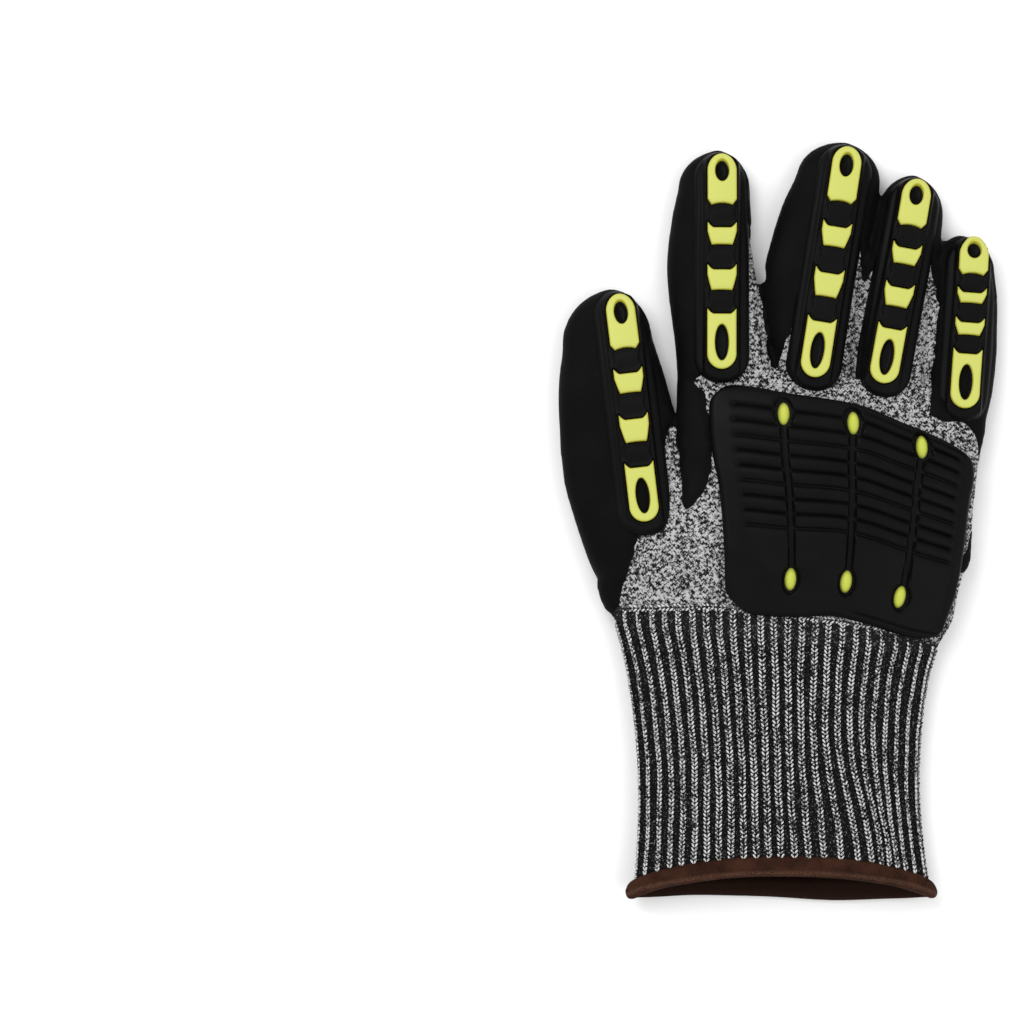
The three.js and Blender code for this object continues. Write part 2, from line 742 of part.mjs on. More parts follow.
// How far the hem stands out from the cuff's ribs
const hemOut = (hemThickness - ribDepth - cuffWall) / 2;

// Turns round the cuff that share its girth out evenly
function evenAngles(count) {
  const steps = 720;
  const girth = [0];
  for (let i = 0; i < steps; i++) {
    const [a, b] = [i, i + 1].map((k) => cuffPoint(0.5, (2 * Math.PI * k) / steps, 0));
    girth.push(girth[i] + a.distanceTo(b));
  }
  return Array.from({ length: count }, (_, i) => {
    const k = girth.findIndex((length) => length >= (girth[steps] * (i + 0.5)) / count);
    return (2 * Math.PI * k) / steps;
  });
}

// A tube of rings with the same stations outside and inside, with more points round the outside
function tube(outer, inner) {
  const [n, m, last] = [outer[0].length, inner[0].length, outer.length - 1];
  const ratio = n / m;
  const faces = [];
  const skinOf = (start, count, turned) => {
    for (let r = 0; r < last; r++)
      for (let i = 0; i < count; i++) {
        const a = start + r * count + i;
        const b = start + r * count + ((i + 1) % count);
        if (turned) faces.push(a, a + count, b, b, a + count, b + count);
        else faces.push(a, b, a + count, b, b + count, a + count);
      }
  };
  const innerStart = n * (last + 1);
  skinOf(0, n, false);
  skinOf(innerStart, m, true);
  for (const [ring, turned] of [[0, true], [last, false]])
    for (let k = 0; k < m; k++) {
      const here = innerStart + ring * m + k;
      const next = innerStart + ring * m + ((k + 1) % m);
      const rim = (j) => ring * n + ((k * ratio + j) % n);
      const add = (a, b, c) => (turned ? faces.push(a, c, b) : faces.push(a, b, c));
      for (let j = 0; j < ratio; j++) add(here, rim(j), rim(j + 1));
      add(here, rim(ratio), next);
    }
  const points = [...outer.flat(), ...inner.flat()];
  return solidOf(new THREE.BufferGeometry().setFromPoints(points).setIndex(faces));
}

function cuffSolid() {
  const perRib = 2;
  const stations = [0, 0.12, 0.5, 1];
  const ribAngles = evenAngles(ribCount * perRib);
  const outer = stations.map((down) =>
    ribAngles.map((angle, i) => cuffPoint(down, angle, i % perRib === 0 ? -ribDepth : 0)),
  );
  const inner = stations.map((down) =>
    ribAngles.filter((_, i) => i % perRib === 0).map((angle) => cuffPoint(down, angle, -ribDepth - cuffWall)),
  );
  return tube(outer, inner);
}

// The hem: a rounded binding round the edge of the cuff
function hemSolid() {
  const stations = 40;
  const rim = [
    { along: 0, through: 0.25 },
    { along: 0.2, through: 0 },
    { along: 0.8, through: 0 },
    { along: 1, through: 0.5 },
    { along: 0.8, through: 1 },
    { along: 0, through: 0.8 },
  ];
  const points = [];
  const faces = [];
  const n = rim.length;
  for (let i = 0; i < stations; i++) {
    const angle = (2 * Math.PI * i) / stations;
    for (const { along, through } of rim) {
      const grow = hemOut - through * hemThickness;
      const spread = hemSpread * Math.min(1, along * 2);
      const p = cuffPoint(1, angle, grow, spread);
      p.y -= clearance + along * hemLength;
      points.push(p);
    }
    for (let j = 0; j < n; j++) {
      const a = i * n + j;
      const b = i * n + ((j + 1) % n);
      const next = ((i + 1) % stations) * n;
      faces.push(a, b, next + j, b, next + ((j + 1) % n), next + j);
    }
  }
  return solidOf(new THREE.BufferGeometry().setFromPoints(points).setIndex(faces));
}

// Bare knit beside a finger's strip, as an upright wedge: along the finger's edge up to where
// it leaves it, and from there to the strip's side where it ends
function fingerKnit(finger, side, shares) {
  const { along, across } = fingerDirections(finger);
  const line = guardLine(finger);
  const [leaves, ends] = shares.map((share) => share * line.length);
  const behind = -4;
  const edge = (distance) => {
    const share = finger.guard.from + distance / finger.length;
    const sideways = readTable(finger.edges, "along", side < 0 ? "left" : "right", share) * finger.width;
    const base = vec2(finger.x, finger.y).addScaledVector(along, share * finger.length);
    return base.addScaledVector(across, sideways + (side * clearance) / 2);
  };
  const outline = [line.at(behind, 0), edge(behind), edge(leaves / 2), edge(leaves)];
  outline.push(line.at(ends, (side * guardWidth) / 2 - side), line.at(ends, 0));
  return prism(side < 0 ? outline.reverse() : outline, centreHeight(finger.halfHeight), deep);
}

// The dipped coating: a skin round the palm and the fingers, open over the bare knit
function coatSolid() {
  const wrist = [[-wide, wide], [-wide, wide * wristSlope], [wide, -wide * wristSlope], [wide, wide]];
  const side = prism(wrist.map(([x, y]) => vec2(x, y)), -deep, deep);
  const outer = gloveSolid(skin, 0, fingerPoints);
  const shell = outer.subtract(gloveSolid(clearance, skin, fingerPoints)).intersect(side);
  const outline = knitOutline.map(({ across, along }) => vec2(across * handWidth, along * handLength));
  let coat = shell.subtract(prism(outline, 0.8 * centreHeight(handHalfHeight), deep));
  for (const finger of fingers) {
    if (finger.knit.left) coat = coat.subtract(fingerKnit(finger, -1, finger.knit.left));
    if (finger.knit.right) coat = coat.subtract(fingerKnit(finger, 1, finger.knit.right));
    coat = coat.subtract(guardRoom(finger, clearance, guardFloor(finger)));
  }
  return coat;
}

// The room of the liner's thumb section or fingers section, with a margin round it
function sectionRoom(join, side, margin) {
  const low = join * handLength - margin;
  const outer = side * wide;
  const points = parting.map((p) => vec2(p.across * handWidth - side * margin, p.along * handLength));
  const [first, last] = [points[0].x, points[points.length - 1].x];
  const outline = [vec2(outer, low), vec2(first, low), ...points, vec2(last, wide), vec2(outer, wide)];
  return prism(side > 0 ? outline.reverse() : outline, -deep, deep);
}

const root = new THREE.Group();
function add(name, solid, material) {
  const mesh = new THREE.Mesh(geometryOf(solid), material);
  mesh.name = name;
  root.add(mesh);
}

const bed = gloveSolid(clearance, 0, fingerPoints);
const hollow = gloveSolid(-knitWall, 3 * knitWall, hollowPoints);
const liner = gloveSolid(0, 0, fingerPoints).subtract(hollow);
const fingersRoom = (margin) => sectionRoom(fingersJoin, 1, margin);
const thumbRoom = (margin) => sectionRoom(thumbJoin, -1, margin);
add("knit_fingers", liner.intersect(fingersRoom(0)), finishes.knit);
add("knit_thumb", liner.intersect(thumbRoom(0)).subtract(fingersRoom(clearance)), finishes.knit);
add("knit_palm", liner.subtract(fingersRoom(clearance)).subtract(thumbRoom(clearance)), finishes.knit);
add("rib_cuff", cuffSolid(), finishes.rib);
add("cuff_hem", hemSolid(), finishes.hem);
add("palm_coating", coatSolid(), finishes.coating);
for (const finger of fingers) {
  add(`${finger.name}_guard`, fingerGuard(finger, bed), finishes.guard);
  for (const name of insertNames)
    add(`${finger.name}_insert_${name}`, insertSolid(finger, name), finishes.insert);
}
const studSeat = plateThickness - studSunk;
let plate = handGuard(bed);
channels.forEach((channel, i) => {
  for (const end of ["upper", "lower"]) {
    const socket = studSolid(channel, end, clearance, studSeat, 2 * studHeight, 1);
    const stud = studSolid(channel, end, 0, studSeat + clearance, studHeight, studCrown);
    plate = plate.subtract(socket);
    add(`stud_${end}_${i + 1}`, stud, finishes.insert);
  }
});
add("hand_guard", plate, finishes.guard);

// The part's origin is the middle of its resting face
const bounds = new THREE.Box3().setFromObject(root);
const centre = bounds.getCenter(new THREE.Vector3());
root.position.set(-centre.x, -centre.y, -bounds.min.z);

export default root;
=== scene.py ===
import math

import bpy
import numpy as np
from bpy.props import FloatProperty, FloatVectorProperty, IntProperty, PointerProperty
from bpy.types import Operator, Panel, PropertyGroup
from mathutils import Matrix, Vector


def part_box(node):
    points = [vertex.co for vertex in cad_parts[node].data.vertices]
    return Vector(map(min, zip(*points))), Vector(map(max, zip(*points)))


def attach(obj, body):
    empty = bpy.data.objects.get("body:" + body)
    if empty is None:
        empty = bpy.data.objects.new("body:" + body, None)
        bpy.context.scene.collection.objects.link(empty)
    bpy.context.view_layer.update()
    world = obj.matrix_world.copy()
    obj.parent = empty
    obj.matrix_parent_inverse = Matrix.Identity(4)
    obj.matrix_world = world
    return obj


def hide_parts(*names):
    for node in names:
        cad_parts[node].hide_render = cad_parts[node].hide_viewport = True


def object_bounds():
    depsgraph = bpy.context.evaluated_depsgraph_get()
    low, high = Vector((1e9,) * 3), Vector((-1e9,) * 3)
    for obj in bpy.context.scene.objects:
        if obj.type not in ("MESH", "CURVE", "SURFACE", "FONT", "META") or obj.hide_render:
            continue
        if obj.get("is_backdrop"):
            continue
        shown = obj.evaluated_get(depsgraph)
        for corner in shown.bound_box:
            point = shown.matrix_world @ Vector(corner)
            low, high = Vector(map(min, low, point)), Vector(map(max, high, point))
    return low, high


bl_info = {
    "name": "Impact resistant work glove",
    "version": (1, 0, 0),
    "blender": (4, 5, 0),
    "location": "View3D > Sidebar > Work glove",
    "description": "Dresses the packed work glove: knit, coating, guards, inserts, cuff and hem",
    "category": "Object",
}

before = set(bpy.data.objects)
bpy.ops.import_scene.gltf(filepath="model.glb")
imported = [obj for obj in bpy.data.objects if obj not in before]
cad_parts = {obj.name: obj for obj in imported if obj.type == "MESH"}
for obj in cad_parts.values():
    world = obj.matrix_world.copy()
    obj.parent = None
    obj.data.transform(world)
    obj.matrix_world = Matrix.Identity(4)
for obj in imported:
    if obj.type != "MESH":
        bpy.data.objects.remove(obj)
CAD_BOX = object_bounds()

# The part's own sizes, in millimetres. The middle of the wrist is at X 0 and Y 0, and the
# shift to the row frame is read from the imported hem, whose place in the wrist's frame is known.
SKIN = 1.2
HAND_WIDTH, HAND_LENGTH, HAND_HALF_HEIGHT = 106, 93, 10.5
WRIST_SLOPE = 0.09
CUFF_LENGTH, CUFF_WIDTH, CUFF_HALF_HEIGHT, CUFF_WALL = 83, 97, 8.4, 1.5
RIB_DEPTH = 0.9
MOUTH_WIDTH, MOUTH_HEIGHT, MOUTH_SETBACK, MOUTH_SHIFT = 101, 21, 8.6, 2
FLARE_FROM, SETBACK_FROM = 0.6, 0.4
SEAM_GAP = 0.3
KNIT_WALL = 1.3
HEM_LENGTH, HEM_THICKNESS, HEM_SPREAD = 7, 4.2, 2.4
HEM_OUT = (HEM_THICKNESS - RIB_DEPTH - CUFF_WALL) / 2
FINGER_HALF_HEIGHT = 7
GUARD_WIDTH, GUARD_RIM, RAIL_WIDTH, RAIL_HEIGHT = 19.2, 1.9, 12.2, 2.9
INSERT_WIDTH, INSERT_HEIGHT, INSERT_SEAT, INSERT_EAR = 10, 3.6, 1.5, 2
BASE_START, BASE_LENGTH, BASE_HOLE, BASE_HOLE_PLACE = 4.6, 20.8, 12.4, 0.43
TIP_HOLE_SHARE, TIP_HOLE_PLACE, HOLE_WIDTH = 0.42, 0.69, 4.8
PLATE_WIDTH, PLATE_LENGTH, PLATE_THICKNESS = 90, 77, 3.3
PLATE_X, PLATE_Y = 19.8, 85.5
PLATE_MEAN_WIDTH = 0.92 * PLATE_WIDTH
CHANNEL_DEPTH, RECESS_DEPTH = 1.7, 1.5
GUARD_SUNK, PLATE_SUNK = 0.8, 0.6
STUD_WIDTH, STUD_LENGTH, STUD_FOOT, STUD_HEIGHT = 4.2, 8, 1.2, 3.9
FLOOR_SHARE = 0.8
SQUARENESS, FLAT_SQUARENESS = 2.3, 3.4
LEAST_HALF_WIDTH = 0.9
REST_GAP = 0.04
# Under this height the knit is coated
FLANK = 4.5

# Fingers: root, length, width, height share and lean. guard holds the strip's two ends along the
# finger and its sideways shifts, in shares. edges are rows of along, left and right.
FINGERS = {
    "thumb": dict(
        x=-47, y=8, length=112.6, width=36, height=8 / 7, lean=-5.97,
        guard=(0.2362, 0.9805, 0.0889, 0.0611), knit={},
        edges=[(0, -0.08, 0.3), (0.13, -0.43, 0.42), (0.25, -0.54, 0.5), (0.46, -0.645, 0.53),
               (0.68, -0.615, 0.45), (0.84, -0.52, 0.35)],
    ),
    "index": dict(
        x=-19, y=76, length=92, width=30, height=1, lean=-1.7,
        guard=(0.1217, 0.9804, -0.06, 0.0333), knit={1: (0.4554, 0.6705)},
        edges=[(0, -0.56, 0.6), (0.18, -0.55, 0.568), (0.55, -0.632, 0.425), (0.74, -0.563, 0.365),
               (0.86, -0.473, 0.36)],
    ),
    "middle": dict(
        x=8, y=74, length=97.7, width=33, height=7.2 / 7, lean=8.5,
        guard=(0.1085, 0.9826, -0.0061, 0.0273), knit={-1: (0.0937, 0.3513), 1: (0.3981, 0.6088)},
        edges=[(0, -0.26, 0.47), (0.19, -0.388, 0.43), (0.5, -0.65, 0.39), (0.72, -0.58, 0.41),
               (0.87, -0.46, 0.43)],
    ),
    "ring": dict(
        x=35, y=70, length=90, width=24, height=6.8 / 7, lean=7.1,
        guard=(0.1333, 0.98, -0.15, 0.05), knit={-1: (0.42, 0.6), 1: (0.4453, 0.6549)},
        edges=[(0, -0.42, 0.5), (0.18, -0.505, 0.535), (0.43, -0.523, 0.49), (0.67, -0.53, 0.5),
               (0.86, -0.46, 0.49)],
    ),
    "little": dict(
        x=61.5, y=62, length=76.7, width=24, height=6.4 / 7, lean=0.3,
        guard=(0.1512, 0.9726, 0, 0.1833), knit={},
        edges=[(0, -0.4, 0.2), (0.29, -0.487, 0.48), (0.5, -0.452, 0.546), (0.68, -0.422, 0.548),
               (0.85, -0.352, 0.5)],
    ),
}

# Rows of along and height share
FINGER_HEIGHTS = [(0, 0.8), (0.16, 1.1), (0.4, 1), (0.7, 0.96), (0.86, 0.84), (0.95, 0.68), (1, 0.46)]

# Rows of left along, left across, right along, right across and height share
HAND_SECTIONS = [
    (0.055, -0.553, -0.055, 0.515, 0.84), (0.2, -0.6, 0.1, 0.578, 0.92), (0.41, -0.5, 0.32, 0.623, 1),
    (0.61, -0.39, 0.52, 0.64, 1), (0.8, -0.345, 0.7, 0.658, 0.95), (0.94, -0.34, 0.83, 0.672, 0.8),
    (1.02, -0.31, 0.9, 0.655, 0.56),
]

# The bare knit's outline on the back of the hand: shares across and along the hand
KNIT_OUTLINE = [
    (-0.469, -0.3), (-0.469, 0.375), (-0.42, 0.4), (-0.39, 0.6), (-0.372, 0.75), (-0.347, 0.76),
    (-0.33, 0.6), (-0.323, 0.485), (-0.303, 0.475), (-0.263, 0.527), (-0.238, 0.594), (-0.23, 0.727),
    (-0.25, 0.88), (-0.28, 0.95), (-0.18, 1), (-0.05, 0.985), (0.1, 1.08), (0.4, 1.08), (0.425, 0.87),
    (0.5, 0.8), (0.6, 0.78), (0.64, 0.65), (0.62, 0.4), (0.585, 0.24), (0.8, 0.22), (0.8, -0.3),
]

# The coated tongue between the index and middle fingers, in the same shares
COATED_TONGUE = [(-0.078, 1.34), (0.062, 1.25), (-0.013, 0.995), (-0.036, 1.0)]

# Where neighbouring fingers meet: both ends of each web's line in millimetres
WEBS = [((0.3, 84), (-6.6, 121.5)), ((21.4, 76), (33.6, 152)), ((48.4, 70), (55.4, 136))]
WEB_HALF_WIDTH, WEB_HALF_HEIGHT = 2.9, 3.5

# How far the ribs run on above the wrist's line, by place across the hand, in millimetres
RIB_RISE = [(-55, 4.6), (-48, 5.2), (-19, 8), (19, 6.9), (31, 6.2), (46, 3.4), (56, 1)]

# The plate's sides by share down, and its ends by share across
PLATE_SIDES = [(0, -0.485, 0.47), (0.03, -0.497, 0.495), (0.1, -0.5, 0.5), (0.27, -0.49, 0.482),
               (0.45, -0.465, 0.468), (0.75, -0.447, 0.435), (0.92, -0.443, 0.395), (0.975, -0.43, 0.38),
               (1, -0.4, 0.36)]
PLATE_ENDS = [(0, 0.03, 0.955), (0.08, 0, 1.01), (0.28, 0.03, 1.02), (0.46, 0.058, 1.015),
              (0.58, 0.084, 1.035), (0.73, 0.152, 1.075), (0.86, 0.21, 1.11), (0.95, 0.262, 1.12),
              (1, 0.31, 1.095)]
CHANNELS = [(0.278, 0.29), (0.543, 0.53), (0.806, 0.763)]
STUD_DOWN = {"upper": 0.093, "lower": 0.83}
GROOVE_COUNT, FIRST_GROOVE, GROOVE_PITCH = 9, 6.4, 5

# How far the cuff keeps the wrist's size, by share down its length
CUFF_SECTIONS = [(0, 1), (0.08, 0.72), (0.2, 0.42), (0.35, 0.18), (0.55, 0)]

# The soft fold low on the cuff, by share of the girth and by its middle in millimetres
FOLD_SHARE, FOLD_X, FOLD_Y = 0.135, 29, -66
RIB_PHASE = 0.75

# A rib stitch's leg in millimetres, and its lean in degrees
LEG_WIDTH, LEG_LENGTH, LEG_HEIGHT, LEG_LEAN = 0.76, 2.05, 0.8, 36

# Inserts above the base one: shares of the strip beyond it
INSERT_PLACES = {"lower": (0.11, 0.284), "upper": (0.4, 0.552), "tip": (0.655, 0.967)}
INSERT_NAMES = ("base", "lower", "upper", "tip")


# Tables and small helpers

def smooth(rows, column=1):
    """A smooth curve through a table's first column and another, without overshoot."""
    x = np.array([row[0] for row in rows], float)
    y = np.array([row[column] for row in rows], float)
    steps = np.diff(y) / np.diff(x)
    slopes = np.concatenate([[steps[0]], np.zeros(len(x) - 2), [steps[-1]]])
    for i in range(1, len(x) - 1):
        before, after = steps[i - 1], steps[i]
        slopes[i] = 0 if before * after <= 0 else 2 * before * after / (before + after)

    def at(place):
        place = np.clip(np.asarray(place, float), x[0], x[-1])
        i = np.clip(np.searchsorted(x, place) - 1, 0, len(x) - 2)
        width = x[i + 1] - x[i]
        t = (place - x[i]) / width
        rise = (y[i + 1] - y[i]) * (3 * t**2 - 2 * t**3)
        bend = width * t * (1 - t) * (slopes[i] * (1 - t) - slopes[i + 1] * t)
        return y[i] + rise + bend

    return at


def power(value, exponent):
    """A power that keeps the sign."""
    return np.sign(value) * np.abs(value) ** exponent


def step(low, high, value):
    """0 up to low, 1 from high on, smooth in between. low may be the larger."""
    t = np.clip((value - low) / (high - low), 0, 1)
    return t * t * (3 - 2 * t)


def mix(a, b, t):
    return a + (b - a) * t


def centre_height(half_height):
    """Height of a section's middle over the floor, whose underside is pressed flat."""
    return SKIN + FLOOR_SHARE * half_height


def crown(half_height, share):
    """Height of a section's upper side at a share of its half width."""
    off = np.minimum(0.97, np.abs(share))
    return centre_height(half_height) + half_height * (1 - off**SQUARENESS) ** (1 / SQUARENESS)


def round_edge(distance, radius):
    """The rise of a rounded edge: 0 at the edge, 1 from its radius on."""
    return np.sqrt(np.clip(1 - (1 - np.clip(distance / radius, 0, 1)) ** 2, 0, 1))


def hill(offset, width):
    """A bell-shaped bump, 1 at its middle."""
    return np.exp(-((offset / width) ** 2))


def row_shift():
    """From the wrist's frame to the row frame, in millimetres."""
    low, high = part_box("cuff_hem")
    wrist = wrist_size()
    hem_width = MOUTH_WIDTH + 2 * (HEM_OUT + HEM_SPREAD)
    if abs((high[0] - low[0]) * 1000 - hem_width) > 3:
        raise ValueError("the packed hem's width isn't the one that this script is made for")
    middle_x = wrist["x"] + MOUTH_SHIFT
    tip_y = wrist["y"] - 2 * SEAM_GAP - CUFF_LENGTH - HEM_LENGTH
    return np.array([(low[0] + high[0]) / 2 * 1000 - middle_x, low[1] * 1000 - tip_y, 0])


def hand_sizes():
    """The hand's sections as columns: middle, half width, direction across and half height."""
    rows = np.array(HAND_SECTIONS)
    left = np.stack([rows[:, 1] * HAND_WIDTH + SKIN, rows[:, 0] * HAND_LENGTH], 1)
    right = np.stack([rows[:, 3] * HAND_WIDTH - SKIN, rows[:, 2] * HAND_LENGTH], 1)
    across = right - left
    width = np.linalg.norm(across, axis=1)
    return (left + right) / 2, width / 2, across / width[:, None], rows[:, 4] * HAND_HALF_HEIGHT


def wrist_size():
    """The hand's first section, where the cuff starts."""
    middle, half_width, _, half_height = hand_sizes()
    return {"x": middle[0, 0], "y": middle[0, 1], "half_width": half_width[0], "half_height": half_height[0]}


def hand_top(x, y):
    """Height of the knit over the back of the hand."""
    middle, half_width, _, half_height = hand_sizes()
    column = lambda values: smooth(list(zip(middle[:, 1], values)))(y)
    return crown(column(half_height), (x - column(middle[:, 0])) / column(half_width))


class Finger:
    """One finger's lines and sizes, smooth along its length."""

    def __init__(self, name):
        row = FINGERS[name]
        self.name = name
        self.root = np.array([row["x"], row["y"]], float)
        self.length, self.width = row["length"], row["width"]
        self.half_height = row["height"] * FINGER_HALF_HEIGHT
        lean = math.radians(row["lean"])
        self.along = np.array([math.sin(lean), math.cos(lean)])
        self.across = np.array([math.cos(lean), -math.sin(lean)])
        self.left, self.right = smooth(row["edges"], 1), smooth(row["edges"], 2)
        self.last = row["edges"][-1][0]
        self.height = smooth(FINGER_HEIGHTS)
        self.knit = row["knit"]
        start, end, shift_start, shift_end = row["guard"]
        self.guard_from = start
        self.start = self.place(start, shift_start)
        end = self.place(end, shift_end)
        self.guard_length = float(np.linalg.norm(end - self.start))
        self.forward = (end - self.start) / self.guard_length
        self.side = np.array([self.forward[1], -self.forward[0]])

    def place(self, share, shift):
        return self.root + self.along * share * self.length + self.across * shift * self.width

    def size(self, share):
        """Sideways middle, half width and half height of the knit at shares of the length."""
        share = np.asarray(share, float)
        rounding = np.clip((share - self.last) / (1 - self.last), 0, 1)
        narrowing = np.sqrt(np.maximum(0.01, 1 - rounding**2)) * self.width
        left, right = self.left(share) * narrowing, self.right(share) * narrowing
        half_width = np.maximum(LEAST_HALF_WIDTH, (right - left) / 2 - SKIN)
        return (left + right) / 2, half_width, self.half_height * self.height(share)

    def top(self, x, y):
        offset = np.stack([x - self.root[0], y - self.root[1]], -1)
        share = np.clip(offset @ self.along / self.length, 0, 0.995)
        shift, half_width, half_height = self.size(share)
        return crown(half_height, (offset @ self.across - shift) / half_width)

    def strip_frame(self, distance):
        """Middle line of the guard, its direction and its upward normal, at distances along it."""
        def middle(d):
            plan = self.start + np.outer(d, self.forward)
            return np.column_stack([plan, self.top(plan[:, 0], plan[:, 1])])

        bend = 2.5
        here = middle(distance)
        forward = middle(distance + bend) - middle(distance - bend)
        forward /= np.linalg.norm(forward, axis=1)[:, None]
        side = np.append(self.side, 0)
        return here, side, np.cross(np.broadcast_to(side, forward.shape), forward)

    def strip_points(self, sideways, distance, height):
        """Points on the strip: sideways and along it, and above its middle line."""
        here, side, up = self.strip_frame(distance)
        return here + sideways[:, None] * side + up * height[:, None]

    def fall(self, sideways, distance):
        """How much lower the finger's surface is beside the strip's middle line."""
        plan = self.start + distance[:, None] * self.forward
        beside = plan + sideways[:, None] * self.side
        return self.top(beside[:, 0], beside[:, 1]) - self.top(plan[:, 0], plan[:, 1])


def cuff_points(down, angle, grow, spread=0.0):
    """Points round the cuff: angle 0 is the little finger's side, a quarter turn is the top."""
    wrist = wrist_size()
    share = smooth(CUFF_SECTIONS)(down)
    flare = np.maximum(0, (down - FLARE_FROM) / (1 - FLARE_FROM)) ** 2
    half_width = mix(mix(CUFF_WIDTH / 2, wrist["half_width"], share), MOUTH_WIDTH / 2, flare)
    half_height = mix(mix(CUFF_HALF_HEIGHT, wrist["half_height"], share), MOUTH_HEIGHT / 2, flare)
    lift = np.sin(angle)
    across = power(np.cos(angle), 2 / SQUARENESS) * (half_width + grow) + spread * np.cos(angle) ** 3
    under = power(lift, 2 / FLAT_SQUARENESS) * (FLOOR_SHARE * half_height + grow)
    over = power(lift, 2 / SQUARENESS) * (half_height + grow)
    up = np.where(lift < 0, under, over)
    floor = mix(SKIN, HEM_OUT, down)
    setback = MOUTH_SETBACK * np.maximum(0, lift) ** 1.5
    setback *= np.maximum(0, (down - SETBACK_FROM) / (1 - SETBACK_FROM))
    slope = WRIST_SLOPE * across * (1 - np.minimum(1, down))
    y = wrist["y"] - SEAM_GAP - slope - down * CUFF_LENGTH + setback
    x = wrist["x"] + MOUTH_SHIFT * np.minimum(1, down) + across
    return np.stack(np.broadcast_arrays(x, y, floor + FLOOR_SHARE * half_height + up), -1)


def even_angles(shares):
    """Turns round the cuff at shares of its girth."""
    turns = np.linspace(0, 2 * math.pi, 1441)
    line = cuff_points(0.5, turns, 0)
    girth = np.concatenate([[0], np.cumsum(np.linalg.norm(np.diff(line, axis=0), axis=1))])
    return np.interp(np.mod(shares, 1) * girth[-1], girth, turns)


# Mesh helpers

def rings_mesh(rings, closed_ends=True):
    """Triangles through rings of equal count, given as an array of rings of points."""
    count, around = rings.shape[:2]
    i = np.arange(count - 1)[:, None] * around
    j = np.arange(around)[None, :]
    a, b = i + j, i + (j + 1) % around
    tris = np.stack([a, b, a + around, b, b + around, a + around], -1).reshape(-1, 3)
    points = rings.reshape(-1, 3)
    if closed_ends:
        ends = np.stack([rings[0].mean(0), rings[-1].mean(0)])
        first, last = len(points), len(points) + 1
        j = np.arange(around)
        k = (j + 1) % around
        start = np.stack([k, j, np.full(around, first)], 1)
        top = (count - 1) * around
        end = np.stack([top + j, top + k, np.full(around, last)], 1)
        points = np.concatenate([points, ends])
        tris = np.concatenate([tris, start, end])
    return points, tris


def ring_tube(rings):
    """A tube bent into a ring, whose last ring joins the first."""
    around = len(rings[0])
    points, tris = rings_mesh(np.stack([*rings, rings[0]]), closed_ends=False)
    last = len(rings) * around
    return points[:last], np.where(tris >= last, tris - last, tris)


def clip(points, tris, field, data=None):
    """The part of a surface where a field is above 0, its edge cut straight through the triangles."""
    inside = field > 0
    count = inside[tris].sum(1)
    whole = tris[count == 3]
    cut = tris[(count == 1) | (count == 2)]
    lone_inside = inside[cut].sum(1) == 1
    lone = np.argmax(inside[cut] == lone_inside[:, None], axis=1)
    pick = np.arange(len(cut))
    a, b, c = cut[pick, lone], cut[pick, (lone + 1) % 3], cut[pick, (lone + 2) % 3]
    ends = np.sort(np.concatenate([np.stack([a, b], 1), np.stack([a, c], 1)]), axis=1)
    edges, index = np.unique(ends, axis=0, return_inverse=True)
    index = index.reshape(-1) + len(points)
    low, high = field[edges[:, 0]], field[edges[:, 1]]
    t = np.clip(low / (low - high), 0.02, 0.98)[:, None]
    points = np.concatenate([points, mix(points[edges[:, 0]], points[edges[:, 1]], t)])
    if data is not None:
        data = np.concatenate([data, mix(data[edges[:, 0]], data[edges[:, 1]], t)])
    ab, ac = index[: len(cut)], index[len(cut):]
    one = np.stack([a, ab, ac], 1)[lone_inside]
    two = np.concatenate([np.stack([ab, b, c], 1)[~lone_inside], np.stack([ab, c, ac], 1)[~lone_inside]])
    tris = np.concatenate([whole, one, two])
    used, tris = np.unique(tris, return_inverse=True)
    tris = tris.reshape(-1, 3)
    return points[used], tris, None if data is None else data[used]


def edge_of(tris):
    """The directed edges that only one triangle has."""
    edges = np.concatenate([tris[:, [0, 1]], tris[:, [1, 2]], tris[:, [2, 0]]])
    size = tris.max() + 1
    keys = edges[:, 0] * size + edges[:, 1]
    return edges[~np.isin(keys, edges[:, 1] * size + edges[:, 0])]


def shell(outer, inner, tris):
    """A closed wall between two surfaces that share their triangles."""
    count = len(outer)
    rim = edge_of(tris)
    a, b = rim[:, 0], rim[:, 1]
    walls = np.concatenate([np.stack([b, a, a + count], 1), np.stack([b, a + count, b + count], 1)])
    return np.concatenate([outer, inner]), np.concatenate([tris, tris[:, ::-1] + count, walls])


def grid(across, along):
    """A flat grid's coordinates and triangles."""
    u, v = np.meshgrid(across, along)
    n = len(across)
    i = np.arange(len(along) - 1)[:, None] * n + np.arange(n - 1)[None, :]
    tris = np.stack([i, i + 1, i + n + 1, i, i + n + 1, i + n], -1).reshape(-1, 3)
    return u.ravel(), v.ravel(), tris


def cut_grid(across, along, field_of, turned=False):
    """The part of a flat grid where a field of its coordinates is above 0."""
    u, v, tris = grid(across, along)
    flat, tris, _ = clip(np.column_stack([u, v]), tris[:, ::-1] if turned else tris, field_of(u, v))
    return flat[:, 0], flat[:, 1], tris


def distance_to(outline, x, y):
    """Signed distance in plan to a closed outline, negative inside."""
    points = np.array(outline, float)
    ends = np.roll(points, -1, 0)
    place = np.stack([x, y], 1)
    nearest = np.full(len(place), 1e9)
    inside = np.zeros(len(place), bool)
    for a, b in zip(points, ends):
        edge = b - a
        t = np.clip((place - a) @ edge / (edge @ edge), 0, 1)
        nearest = np.minimum(nearest, np.linalg.norm(place - a - t[:, None] * edge, axis=1))
        crosses = (a[1] > y) != (b[1] > y)
        if a[1] != b[1]:
            inside ^= crosses & (x < a[0] + (y - a[1]) / (b[1] - a[1]) * edge[0])
    return np.where(inside, -nearest, nearest)


